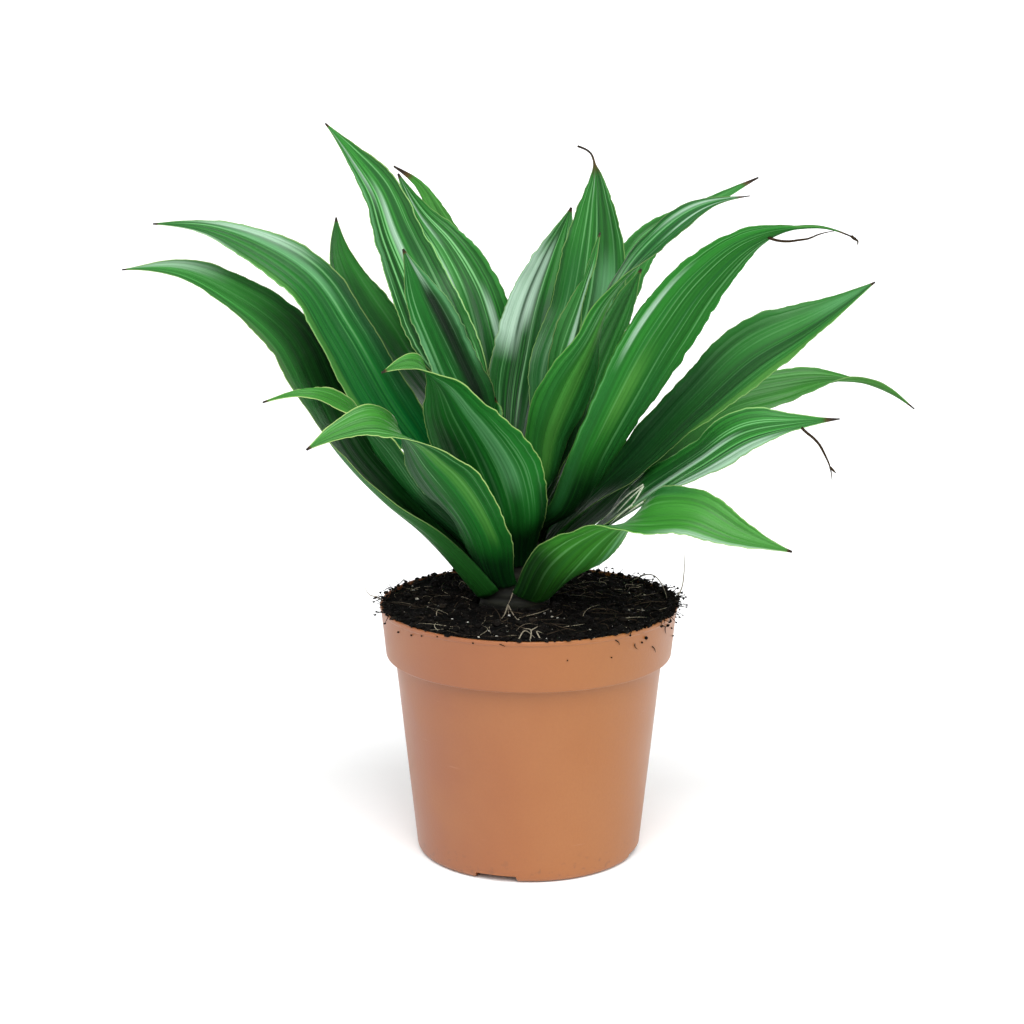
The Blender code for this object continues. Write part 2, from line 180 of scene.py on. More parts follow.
LEAVES = (
    Leaf("left_low", 187, 114, 40, 43, (
        (39, -8, 141, -8), (55, -13, 156, -16), (71, -17, 174, -20), (84, -18, 199, -28),
        (97, -20, 226, -42), (119, -22, 244, -45), (142, -22, 255, -35), (165, -20, 256, -20),
    ), channel=32, wrap=66),
    Leaf("curl_left", 212, 125, 27, 37, (
        (42, -13, 160, 0), (61, -14, 186, -5), (75, -13, 202, -22), (89, -13, 209, -32),
        (109, -21, 206, -35),
    ), wrap=36, full=2.0),
    Leaf("curl_middle", 232, 120.5, 31, 42, (
        (46, 9, 159, 0), (66, 6, 182, 0), (78, 3, 197, -22), (89, -2, 203, -50),
        (100, -10, 200, -56), (110, -19, 193, -55),
    ), wrap=42),
    Leaf("curl_front", 252, 129.5, 20, 51, (
        (33, 3, 159, 0), (46, -2, 184, 0), (56, -7, 201, -5), (64, -13, 218, -40),
        (71, -20, 225, -66), (77, -31, 222, -62),
    ), wrap=60),
    Leaf("left_high", 178, 127, 28, 34, (
        (37, 0, 171, -12), (56, 0, 196, -35), (74, 0, 228, -50), (89, 0, 251, -50),
        (107, 1, 264, -50), (129, 2, 273, -45), (153, 2, 275, -30),
    ), wrap=42),
    Leaf("left_rear", 162, 137, 20, 33, (
        (44, -18, 191, -3), (66, -20, 217, -20), (83, -21, 242, -25), (90, -21, 260, -25),
        (90, -21, 274, -25),
    ), full=7),
    Leaf("left_inner", 176, 158, 12, 28, (
        (16, 3, 192, -20), (28, 2, 218, -45), (39, 3, 243, -50), (47, 5, 265, -50),
    ), full=5),
    Leaf("left_tall", 156, 148.5, 16, 32, (
        (20, -4, 189, -10), (38, -7, 221, -35), (52, -8, 250, -40), (60, -6, 268, -38),
        (67, -3, 288, -32), (75, 3, 302, -25), (84, 11, 316, -20),
    ), full=4.5),
    Leaf("rear_left", 128, 146, 16, 40, (
        (25, -6, 187, 0), (41, -13, 218, -10), (51, -12, 242, -15), (60, -7, 260, -20),
        (68, 1, 275, -25), (71, 10, 293, -30),
    )),
    Leaf("rear_arch", 106, 140.5, 18, 20, (
        (49, -2, 192, 0), (70, -1, 226, 0), (82, 4, 251, 0), (91, 11, 272, 0),
        (95, 18, 285, 0), (96, 30, 294, 0),
    )),
    Leaf("centre_wide", 98, 153, 9, 42, (
        (19, -6, 184, 0), (29, -12, 209, 0), (38, -18, 235, 0), (43, -23, 251, 0),
        (47, -28, 266, 0), (48, -32, 278, 0),
    ), full=4),
    Leaf("centre_tall", 72, 161, 8, 34, (
        (14, -12, 185, 0), (22, -16, 211, 0), (31, -23, 236, 0), (36, -25, 259, 0),
        (38, -25, 281, 0), (38, -24, 297, 0), (38, -22, 303, 0), (38, -16, 306, 0),
    ), wrap=44, full=6, tail=0.07),
    Leaf("centre_strip", 40, 166, 8, 16, (
        (10, -13, 188, 0), (17, -11, 218, 0), (25, -13, 241, 0), (29, -16, 257, 0),
        (33, -17, 271, 0),
    )),
    Leaf("right_rear", 38, 143, 18, 22, (
        (35, 6, 182, 20), (54, 13, 211, 30), (70, 16, 236, 30), (85, 12, 261, 30),
        (106, 1, 276, 25), (128, -14, 290, 20),
    )),
    Leaf("right_short", 8, 146, 16, 24, (
        (23, -12, 184, 10), (32, -13, 212, 30), (41, -12, 233, 40), (52, -12, 257, 40),
    ), wrap=28, full=5),
    Leaf("right_twist", 300, 157, 8, 30, (
        (20, 0, 164, -5), (30, 0, 190, -10), (40, 3, 211, 0), (48, 9, 231, 25),
        (53, 14, 248, 48), (63, 27, 270, 80), (72, 44, 285, 85), (80, 63, 290, 60),
    ), wrap=34),
    Leaf("right_long", 322, 139.5, 18, 35, (
        (33, -3, 157, -10), (49, -6.5, 184, -30), (64, -8, 208, -42), (80, -5.5, 236, -48),
        (95, -1, 258, -48), (110, 7, 273, -48), (124, 20, 279, -20), (134, 28, 279, 0),
        (143, 35, 275, 0),
    ), full=5, spread=0.9, tail=0.11),
    Leaf("right_broad", 358, 131, 26, 38, (
        (31, -1, 153, 8), (53, -2, 173, 22), (78, -3, 199, 38), (100, -3, 220, 45),
        (125, -4, 234.5, 40), (151, -5, 252, 30),
    ), wrap=40, full=5, spread=0.8),
    Leaf("right_arch", 18, 126, 36, 26, (
        (45, 0, 152, 10), (74, 5, 175, 30), (101, 7, 192, 40), (127, 5, 198, 38),
        (155, 0, 201, 0), (171, -5, 198, -25), (186, -10, 188, -30),
    ), wrap=36),
    Leaf("right_low", 340, 120.5, 38, 42, (
        (42, -6, 148, 0), (64, -8, 165, 12), (85, -10, 180, 24), (104, -9, 193, 38),
        (123, -6, 198, 35), (141, -2, 201, 20),
    ), wrap=42),
    Leaf("front_right", 320, 114, 44, 36, (
        (39, -10, 134, -28), (57, -14, 150, -18), (73, -18, 160, 2), (89, -19, 166, 34),
        (106, -18, 168.5, 38), (124, -13, 162, 36), (143, -2, 156, 32),
    ), wrap=60),
    Leaf("back_low", 92, 113.6, 42, 36, (
        (30, 0, 132, 0), (54, 2, 143, 0), (76, 4, 143, 0), (94, 6, 131, 0),
    )),
    Leaf("back_left", 136, 122, 34, 32, (
        (34, 0, 146, 0), (58, -4, 168, 0), (86, -10, 176, 0), (110, -18, 164, 0),
    ), wrap=36),
    Leaf("back_right", 66, 117, 36, 32, (
        (32, 2, 141, 0), (54, 5, 158, 0), (76, 8, 166, 0), (98, 12, 158, 0),
    )),
    Leaf("back_high", 106, 130.5, 26, 34, (
        (32, 5, 155, 0), (54, 9, 180, 0), (75, 13, 195, 0), (93, 16, 194, 0),
    ), wrap=40),
    Leaf("back_high_right", 60, 134, 24, 32, (
        (30, -2, 164, 0), (52, -4, 194, 0), (78, -6, 212, 0), (104, -8, 208, 0),
    )),
    Leaf("bud", 200, 168, 4, 12, (
        (7, 0, 181, 0), (8, 0, 191, 0), (9, 0, 202, 0),
    )),
)

# The greens of the blades, as they look in full light.
PINE = (34, 92, 46)
IVY = (40, 110, 52)
JADE = (18, 122, 66)
CLOVER = (50, 136, 60)
MOSS = (70, 150, 68)
FERN = (86, 170, 82)
LIME = (96, 168, 72)
CELERY = (120, 176, 96)
CREAM = srgb(166, 196, 116)
DRIED = srgb(74, 56, 24)
DRIED_DARK = srgb(40, 27, 14)
# The share of red, green and blue by which a blade's own colour is below the one seen in light.
BLADE_SHARE = (0.31, 0.49, 0.32, 1.0)

# How a leaf looks: the upper face near the base and towards the tip, the under face, how strongly
# pale streaks show and where they begin and end along the blade, how many millimetres of the tip
# have dried, and how strongly the cream margin shows. The pale streaks are partly the blade's own
# paler stripes and partly painted gloss along the veins.
Look = namedtuple(
    "Look", "base tip under streaks start end dry cream", defaults=(0.35, 0.25, 0.9, 2.0, 0.25)
)

LOOKS = {
    "left_low": Look(IVY, FERN, MOSS, 0.1, cream=0.6),
    "curl_left": Look(MOSS, LIME, IVY, 0.3, cream=0.9),
    "curl_middle": Look(CLOVER, LIME, CLOVER, 0.4, 0.3, 1.0, cream=0.8),
    "curl_front": Look(MOSS, LIME, CLOVER, 0.3, 0.3, 1.0, cream=0.7),
    "left_high": Look(JADE, MOSS, CLOVER, 0.6, 0.55, 1.0, cream=0.4),
    "left_rear": Look(IVY, FERN, PINE, 0.15, cream=0.9),
    "left_inner": Look(PINE, CLOVER, IVY, 0.5, 0.5, 1.0),
    "left_tall": Look(IVY, FERN, IVY, 0.9, 0.3, 1.0, cream=0.5),
    "rear_left": Look(CLOVER, FERN, IVY, 0.9, 0.3, 1.0),
    "rear_arch": Look(MOSS, LIME, IVY, 0.2, 0.3, 0.9, 9, 0.1),
    "centre_wide": Look(PINE, MOSS, IVY, 0.6, 0.3, 1.0),
    "centre_tall": Look(IVY, MOSS, IVY, 0.5, 0.3, 0.95, 14),
    "centre_strip": Look(IVY, FERN, IVY, 0.6, 0.3, 0.9),
    "right_rear": Look(MOSS, FERN, IVY, 0.2, 0.3, 0.9, 7, 0.1),
    "right_short": Look(PINE, MOSS, IVY, 0.2),
    "right_twist": Look(IVY, CLOVER, FERN, 0.6, 0.5, 1.0, 5),
    "right_long": Look(IVY, MOSS, MOSS, 0.4, 0.25, 1.0, 7, 0.1),
    "right_broad": Look(PINE, MOSS, MOSS, 0.15, 0.5, 1.0, 2),
    "right_arch": Look(MOSS, LIME, CELERY, 0.2, 0.3, 0.9, 4),
    "right_low": Look(IVY, FERN, MOSS, 0.6, 0.4, 1.0, 6, 0.5),
    "front_right": Look(MOSS, LIME, LIME, 0.4, 0.1, 0.6, cream=0.5),
}
PLAIN_LOOK = Look(IVY, MOSS, CLOVER, 0.35)

# Long marks on a face, mostly painted light and shade: painted highlights, painted sheen, painted
# shade at the bases and over shaded halves, and lighter painted shade in the ivy green. Each gives
# the middle across the blade, how wide, from where to where along it, how strong, all in
# hundredths, and what tint.
# Painted highlight: whitish gloss laid on as colour.
PAINTED_HIGHLIGHT = (206, 242, 216)
# Painted sheen: a pale sage gleam laid on as colour.
PAINTED_SHEEN = (124, 196, 136)
# Yellow-green: painted light on lit ridges and lit halves of blades, and in places the blade's own
# yellow-green band.
YELLOW_GREEN_AND_PAINTED_LIGHT = (96, 168, 70)
# Deep painted shade, at the leaf bases and over shaded halves of blades.
PAINTED_DEEP_SHADE = (8, 34, 16)
# Near-black painted shadow, where one leaf shades another.
PAINTED_SHADOW = (4, 16, 8)
SHADE = (24, 66, 36)
OLIVE = (98, 140, 84)

PAINTED_LIGHT_MARKS = {
    "left_low upper": (
        (12, 30, 46, 68, 85, PAINTED_DEEP_SHADE), (45, 35, 50, 72, 50, PAINTED_DEEP_SHADE), (20, 22, 84, 100, 50, PAINTED_HIGHLIGHT),
        (92, 12, 35, 75, 60, OLIVE),
    ),
    "left_low under": ((35, 25, 0, 16, 70, PAINTED_DEEP_SHADE),),
    "curl_left under": ((50, 90, -20, 36, 75, PAINTED_DEEP_SHADE),),
    "curl_middle under": (
        (16, 26, 20, 75, 75, SHADE), (50, 90, -20, 16, 90, PAINTED_DEEP_SHADE), (76, 10, 25, 70, 60, YELLOW_GREEN_AND_PAINTED_LIGHT),
        (40, 5, 20, 70, 50, SHADE),
    ),
    "curl_front under": (
        (30, 16, 30, 60, 50, SHADE), (50, 90, -20, 18, 95, PAINTED_DEEP_SHADE), (72, 10, 35, 80, 45, PAINTED_SHEEN),
        (55, 5, 30, 90, 50, SHADE), (97, 10, 10, 34, 70, PAINTED_DEEP_SHADE),
    ),
    "left_high upper": (
        (5, 16, 36, 68, 80, SHADE), (14, 14, 72, 90, 65, PAINTED_HIGHLIGHT), (30, 10, 62, 86, 55, PAINTED_SHEEN),
        (93, 10, 30, 80, 50, YELLOW_GREEN_AND_PAINTED_LIGHT), (95, 10, 86, 100, 50, PAINTED_HIGHLIGHT),
    ),
    "left_rear upper": ((45, 30, 30, 85, 60, SHADE), (8, 10, 30, 50, 60, YELLOW_GREEN_AND_PAINTED_LIGHT)),
    "left_inner upper": (
        (30, 20, 20, 84, 90, PAINTED_SHADOW), (2, 14, 50, 100, 50, PAINTED_SHEEN), (97, 14, 50, 70, 75, PAINTED_SHEEN),
        (24, 12, 86, 100, 60, PAINTED_HIGHLIGHT),
    ),
    "left_tall upper": (
        (50, 9, 45, 80, 75, PAINTED_HIGHLIGHT), (30, 10, 60, 90, 70, SHADE), (70, 7, 80, 100, 60, PAINTED_HIGHLIGHT),
        (93, 8, 60, 90, 40, PAINTED_SHEEN), (20, 12, 45, 70, 50, SHADE),
    ),
    "rear_left upper": (
        (25, 7, 30, 60, 80, PAINTED_HIGHLIGHT), (70, 7, 45, 72, 80, PAINTED_HIGHLIGHT), (50, 7, 80, 100, 70, PAINTED_HIGHLIGHT),
        (48, 16, 35, 65, 60, SHADE), (68, 10, 82, 100, 70, SHADE),
    ),
    "centre_wide upper": (
        (86, 20, 50, 84, 80, PAINTED_HIGHLIGHT), (68, 8, 60, 86, 80, PAINTED_HIGHLIGHT), (95, 5, 55, 90, 60, PAINTED_HIGHLIGHT),
        (45, 20, 10, 70, 55, SHADE), (76, 3, 52, 90, 80, SHADE), (8, 20, 86, 100, 40, PAINTED_SHEEN),
    ),
    "centre_tall upper": (
        (30, 20, 50, 66, 60, PAINTED_SHEEN), (50, 90, -20, 42, 70, IVY), (78, 18, 50, 68, 50, IVY),
        (47, 3, 70, 95, 50, IVY), (62, 4, 86, 100, 50, PAINTED_HIGHLIGHT),
    ),
    "centre_strip upper": ((30, 14, 50, 85, 70, PAINTED_HIGHLIGHT), (10, 14, 50, 66, 80, PAINTED_SHADOW)),
    "right_short upper": ((40, 70, -20, 50, 75, PAINTED_SHADOW),),
    "right_twist under": (
        (88, 30, -10, 55, 70, IVY), (50, 20, 10, 70, 50, YELLOW_GREEN_AND_PAINTED_LIGHT), (20, 10, 10, 60, 40, IVY),
    ),
    "right_twist upper": (
        (50, 8, 65, 90, 70, SHADE), (20, 6, 70, 95, 60, SHADE), (78, 10, 80, 100, 60, PAINTED_HIGHLIGHT),
        (35, 5, 80, 100, 60, PAINTED_HIGHLIGHT),
    ),
    "right_long under": (
        (50, 90, -20, 24, 90, PAINTED_DEEP_SHADE), (75, 20, 20, 50, 60, IVY), (14, 14, 10, 46, 60, IVY),
        (42, 14, 34, 50, 55, YELLOW_GREEN_AND_PAINTED_LIGHT), (14, 5, 50, 66, 80, PAINTED_HIGHLIGHT), (60, 5, 50, 85, 45, IVY),
        (32, 4, 45, 90, 45, IVY),
    ),
    "right_broad upper": (
        (30, 60, -20, 30, 60, PAINTED_DEEP_SHADE), (80, 30, 30, 60, 50, SHADE), (5, 12, 45, 95, 75, YELLOW_GREEN_AND_PAINTED_LIGHT),
        (40, 5, 40, 90, 35, SHADE), (62, 30, 86, 100, 35, PAINTED_SHEEN),
    ),
    "right_arch upper": ((50, 80, -20, 40, 60, PAINTED_DEEP_SHADE),),
    "right_low upper": (
        (50, 90, -20, 30, 60, PAINTED_DEEP_SHADE), (14, 20, 50, 84, 70, PAINTED_HIGHLIGHT), (60, 6, 40, 70, 75, PAINTED_HIGHLIGHT),
        (75, 20, 40, 66, 60, SHADE), (36, 4, 55, 90, 60, SHADE), (24, 3, 50, 80, 80, PAINTED_HIGHLIGHT),
    ),
    "front_right under": (
        (10, 30, -20, 24, 85, PAINTED_DEEP_SHADE), (85, 8, 10, 50, 50, PAINTED_SHEEN), (35, 4, 10, 60, 40, IVY),
        (60, 4, 10, 60, 40, IVY),
    ),
    "front_right upper": ((94, 16, 50, 70, 75, IVY), (6, 10, 66, 100, 50, PAINTED_HIGHLIGHT)),
}

# Loose bits: how many, and how far from the pot's axis they lie
CRUMBS = 2300
RIM_CRUMBS = 420
FIBRES = 820
RIM_FIBRES = 90
GRIT = 130
CRUMB_REACH = 0.0632
FIBRE_REACH = 0.0615
FIBRE_END_REACH = 0.0645
RIM_FIBRE_REACH = 0.0625
GRIT_REACH = 0.0625
RIM_BAND = (0.0612, 0.0652)
STEM_CLEARANCE = 0.0009

# Their sizes, as least and most where there are two
CRUMB_LEAST = 0.0004
CRUMB_RANGE = 0.0016
RIM_CRUMB_SIZES = (0.0004, 0.0013)
GRIT_SIZES = (0.00025, 0.0007)
FIBRE_LENGTHS = (0.003, 0.017)
FIBRE_RISES = (-0.0003, 0.0024)
FIBRE_BOWS = (-0.004, 0.004)
FIBRE_RADII = (0.00007, 0.00019)
RIM_FIBRE_LENGTHS = (0.002, 0.0075)
RIM_FIBRE_RISES = (0.0, 0.0045)
RIM_FIBRE_BOWS = (-0.0015, 0.0015)
RIM_FIBRE_RADII = (0.00009, 0.0002)
HOOK_STAND = 0.00018
HOOK_RADIUS = 0.00022
STRAND_POINTS = 7
THREAD_POINTS = 16
THREAD_RADIUS = 0.0006
STRIP_RADIUS = 0.0004
WISP_RADIUS = 0.0003

# Strands that spill over the rim: how many, the share at the left, and how far from the axis they
# start, bend and end
SPILLS = 52
SPILLS_LEFT = 0.16
SPILL_FOOT = 0.0605
SPILL_BEND = 0.0645
SPILL_TIPS = (0.0655, 0.0694)
SPILL_BEND_HEIGHTS = (0.0006, 0.002)
SPILL_TIP_HEIGHTS = (-0.002, 0.003)
SPILL_RADII = (0.00024, 0.0004)
SPILL_CLUMPS = (0.0004, 0.0008)

# Colours of the pot: painted shade on its left side and painted light on its right side, and what
# clouds, grain, scuffs and the darker patches towards the bottom make of it
POT_PAINTED_SHADE_SIDE = srgb(136, 79, 45)
POT_PAINTED_LIGHT_SIDE = srgb(150, 92, 42)
POT_CLOUD = srgb(154, 101, 58)
POT_GRAIN = srgb(128, 76, 43)
POT_SCUFF = srgb(166, 122, 92)
POT_LOW_PATCH = srgb(96, 64, 46)

# Colours of soil, bark and loose bits, some by a noise or by the number that each bit carries. The
# bark is near black: its own dark colour with painted shade among the leaf bases.
SOIL_FLECK = srgb(96, 82, 68)
SPECKLE = srgb(24, 18, 13)
SOIL_TONES = [
    (0.3, srgb(3, 3, 3)), (0.52, srgb(6, 6, 6)), (0.66, srgb(12, 11, 10)), (0.78, srgb(28, 25, 22)),
]
BARK_AND_PAINTED_SHADE_TONES = [(0.3, srgb(8, 9, 6)), (0.5, srgb(16, 17, 10)), (0.7, srgb(32, 34, 20))]
PEAT_TONES = [
    (0.0, srgb(4, 4, 4)), (0.5, srgb(8, 7, 7)), (0.85, srgb(16, 14, 13)), (1.0, srgb(42, 36, 30)),
]
FIBRE_TONES = [
    (0.0, srgb(8, 7, 6)), (0.6, srgb(18, 15, 13)), (0.88, srgb(80, 68, 54)),
    (1.0, srgb(190, 180, 156)),
]
STRAND_TONES = [(0.0, srgb(50, 38, 24)), (0.7, srgb(150, 140, 122)), (1.0, srgb(206, 216, 190))]
GRIT_TONES = [(0.0, srgb(150, 140, 124)), (0.6, srgb(200, 196, 184)), (1.0, srgb(232, 230, 222))]

# The corners and faces of an icosahedron, from which each lump is made
GOLD = (1 + 5**0.5) / 2
ICO_POINTS = np.array([
    (-1, GOLD, 0), (1, GOLD, 0), (-1, -GOLD, 0), (1, -GOLD, 0),
    (0, -1, GOLD), (0, 1, GOLD), (0, -1, -GOLD), (0, 1, -GOLD),
    (GOLD, 0, -1), (GOLD, 0, 1), (-GOLD, 0, -1), (-GOLD, 0, 1),
]) / hypot(1, GOLD)
ICO_FACES = (
    (0, 11, 5), (0, 5, 1), (0, 1, 7), (0, 7, 10), (0, 10, 11), (1, 5, 9), (5, 11, 4),
    (11, 10, 2), (10, 7, 6), (7, 1, 8), (3, 9, 4), (3, 4, 2), (3, 2, 6), (3, 6, 8),
    (3, 8, 9), (4, 9, 5), (2, 4, 11), (6, 2, 10), (8, 6, 7), (9, 8, 1),
)

# Bits of peat that stick to the collar: degrees round the pot, height, size, all but the first in
# millimetres.
COLLAR_CRUMBS = (
    (-149, 106.5, 0.6), (-140, 107.5, 0.5), (-134, 108.5, 0.45), (-126, 110, 0.5),
    (-111, 109.5, 0.5), (-76, 102.5, 0.45), (-58, 101.5, 0.5), (-41, 106.5, 0.9),
    (-43, 105, 0.6), (-30, 109, 0.7), (-24, 107.5, 0.8), (-18, 104.5, 0.5),
    (-13, 99.5, 0.5), (22, 106, 0.5), (131, 104, 0.5), (164, 107.5, 0.6),
)
# Short strands on the collar: from (degrees, height) to (degrees, height), with a bow.
COLLAR_HOOKS = (
    (-57, 109, -55, 106.5, 0.7), (-47, 105.5, -45, 102.5, -0.8),
    (-36, 101.5, -33, 98, 0.5), (-101, 110, -99, 109, 0.3),
    (-27, 108, -25, 104, -0.6),
)

# Dried threads and pale torn strips, as points in millimetres.
DRIED_THREADS = (
    (
        (93.5, -61, 275.5), (96.5, -61, 274.5), (101.5, -61, 274), (106, -60.5, 274.5),
        (109.5, -60.5, 275), (113, -60.5, 276.5), (116.5, -60.5, 277.5), (119.5, -60.5, 278),
    ),
    ((126.5, -60.5, 276), (127.5, -60, 275), (129, -60, 274), (129, -60, 272.5)),
    (
        (110, -53.5, 198), (112, -53, 196), (114.5, -52.5, 194), (117, -52, 191.5),
        (120, -51, 186.5), (122.5, -50, 181), (123.5, -50, 175.5),
    ),
    ((122.5, -50, 181), (125, -50, 178.5)),
)
PALE_STRIPS = (
    ((48.5, -15.5, 166.5), (42.5, -12, 161.5), (36.5, -8.5, 154.5), (31.5, -6.5, 149)),
    ((48, -16.5, 165.5), (42, -15.5, 159.5), (37.5, -14.5, 154)),
    ((48.5, -16.5, 166), (44.5, -21, 160.5), (41.5, -22.5, 157)),
    ((46.5, -49.5, 166.5), (42, -47, 162.5), (39, -43, 159.5), (34, -40.5, 156)),
    ((42, -49, 165), (39, -47, 162), (33, -40, 154.5)),
)
# The same for root wisps, but the last number is the height over the soil.
ROOT_WISPS = (
    ((-6.5, -14, 9), (-7.5, -17, 6.5), (-9, -20, 3.5)),
    ((-9, -20, 3.5), (-10.5, -26, 1.5), (-13, -33, 0)),
    ((-9, -20, 3.5), (-7, -27, 1.5), (-4.5, -35, 0)),
    ((-9, -20, 3.5), (-9, -22, 2), (-8.5, -23.5, 0)),
    ((0, -61, 0), (0.5, -57, 3), (-3, -52, 2)),
    ((0.5, -57, 3), (3.5, -50, 2.5)),
    ((-5, -60, 0), (-2, -55, 2.5), (2, -59, 0.5)),
    ((5, -61, 0), (3, -56, 2.5), (6, -53, 0.5)),
    ((63, 4, 0), (66.5, 4, 4.5), (68, 4, 13), (68, 3, 19), (67.5, 2, 25)),
    ((-62.5, 2, 0), (-66, 2, 3), (-69.5, 2, 4), (-72, 3, 7.5)),
    ((46.5, 40, 0), (53, 34, 5), (60, 12, 3), (61, 2, 0)),
)

# Stage, lights and camera
STAGE_RADIUS = 6.0
STAGE_WALL = 2.0
STAGE_STEPS = 8
STAGE_GAP = 0.0002
STAGE_SIDES = 96
PAPER_TONES = ((0.93, 0.93, 0.93, 1), (0.96, 0.96, 0.96, 1))
SKY = (0.97, 0.985, 1.0, 1)
SKY_STRENGTH = 0.46
CAMERA_PLACE = (-0.0073, -0.930, 0.359)
CAMERA_DOWN = 12.6
SENSOR_WIDTH = 36
LENS = 77.34


class Shader:
    """A material with one Principled shader, and short calls for the nodes that feed it."""

    def __init__(self, name, roughness, specular=0.5, coat=0.0, coat_roughness=0.2):
        self.material = bpy.data.materials.new(name)
        self.material.use_nodes = True
        self.tree = self.material.node_tree
        self.surface = self.tree.nodes["Principled BSDF"]
        inputs = {
            "Roughness": roughness, "Specular IOR Level": specular,
            "Coat Weight": coat, "Coat Roughness": coat_roughness,
        }
        for socket, value in inputs.items():
            self.surface.inputs[socket].default_value = value

    def feed(self, value, socket):
        if isinstance(value, bpy.types.NodeSocket):
            self.tree.links.new(value, socket)
        else:
            socket.default_value = value

    def node(self, kind, inputs, output=0, **settings):
        """One output of a new node, whose settings are made and whose inputs are fed."""
        made = self.tree.nodes.new("ShaderNode" + kind)
        for name, value in settings.items():
            setattr(made, name, value)
        for socket, value in inputs.items():
            self.feed(value, made.inputs[socket])
        return made.outputs[output]

    def math(self, operation, a, b=0.0):
        return self.node("Math", {0: a, 1: b}, operation=operation)

    def times(self, a, b):
        return self.math("MULTIPLY", a, b)

    def plus(self, a, b):
        return self.math("ADD", a, b)

    def span(self, value, low, high, top=1.0, bottom=0.0):
        """What rises softly from bottom to top while the value goes from low to high."""
        ends = {"From Min": low, "From Max": high, "To Min": bottom, "To Max": top}
        inputs = {"Value": value, **ends}
        return self.node("MapRange", inputs, "Result", interpolation_type="SMOOTHSTEP")

    def mix(self, share, a, b):
        return self.node("Mix", {0: share, 6: a, 7: b}, 2, data_type="RGBA")

    def laid(self, color, *layers):
        """The colour with tints laid over it, each by a number that goes from low to high."""
        for value, low, high, top, tint in layers:
            color = self.mix(self.span(value, low, high, top), color, tint)
        return color

    def noise(self, vector, scale, detail=2.0, rough=0.5):
        inputs = {"Vector": vector, "Scale": scale, "Detail": detail, "Roughness": rough}
        return self.node("TexNoise", inputs)

    def streaks(self, vector, scale, offset=(0, 0, 0), detail=2.0):
        """Noise drawn out by a scale of its own for each axis."""
        mapped = self.node("Mapping", {"Vector": vector, "Scale": scale, "Location": offset})
        return self.noise(mapped, 1.0, detail)

    def ramp(self, value, stops):
        made = self.tree.nodes.new("ShaderNodeValToRGB")
        elements = made.color_ramp.elements
        while len(elements) < len(stops):
            elements.new(0.5)
        for element, (position, color) in zip(elements, stops):
            element.position = position
            element.color = color
        self.feed(value, made.inputs[0])
        return made.outputs[0]

    def attribute(self, name):
        return self.node("Attribute", {}, "Fac", attribute_name=name)

    def blade(self):
        """The leaf's own coordinates: across the blade, along it, each from 0 to 1."""
        return self.node("UVMap", {}, uv_map="blade")

    def place(self):
        return self.node("TexCoord", {}, "Object")

    def part(self, vector, axis):
        return self.node("SeparateXYZ", {0: vector}, axis)

    def dress(self, color, roughness=None, height=None, depth=0.0002):
        """The material, once its colour, its roughness and its bumps are fed."""
        self.feed(color, self.surface.inputs["Base Color"])
        if roughness is not None:
            self.feed(roughness, self.surface.inputs["Roughness"])
        if height is not None:
            bumps = {"Strength": 1.0, "Distance": depth, "Height": height}
            self.feed(self.node("Bump", bumps, "Normal"), self.surface.inputs["Normal"])
        return self.material


def leafy(red, green, blue):
    """A leaf colour as it looks in full light, taken down to the blade's own colour."""
    seen = srgb(red, green, blue)
    return tuple(share * part for share, part in zip(BLADE_SHARE, seen))


def scaled(color, factor):
    return (*(factor * part for part in color[:3]), 1.0)


def marked(shader, color, along, across, breaks, mark):
    """The colour with one long soft-ended mark of painted light laid over it, broken up by the fine
    veins.
    """
    middle, wide, start, end, strength = (number / 100 for number in mark[:5])
    far = shader.math("ABSOLUTE", shader.math("SUBTRACT", across, middle))
    over = shader.span(far, wide, MARK_CORE * wide, strength)
    begun = shader.span(along, start - MARK_EASE, start + MARK_EASE)
    done = shader.span(along, end + MARK_EASE, end - MARK_EASE)
    share = shader.times(shader.times(over, begun), done)
    return shader.mix(shader.times(share, breaks), color, scaled(srgb(*mark[5]), MARK_DEPTH))


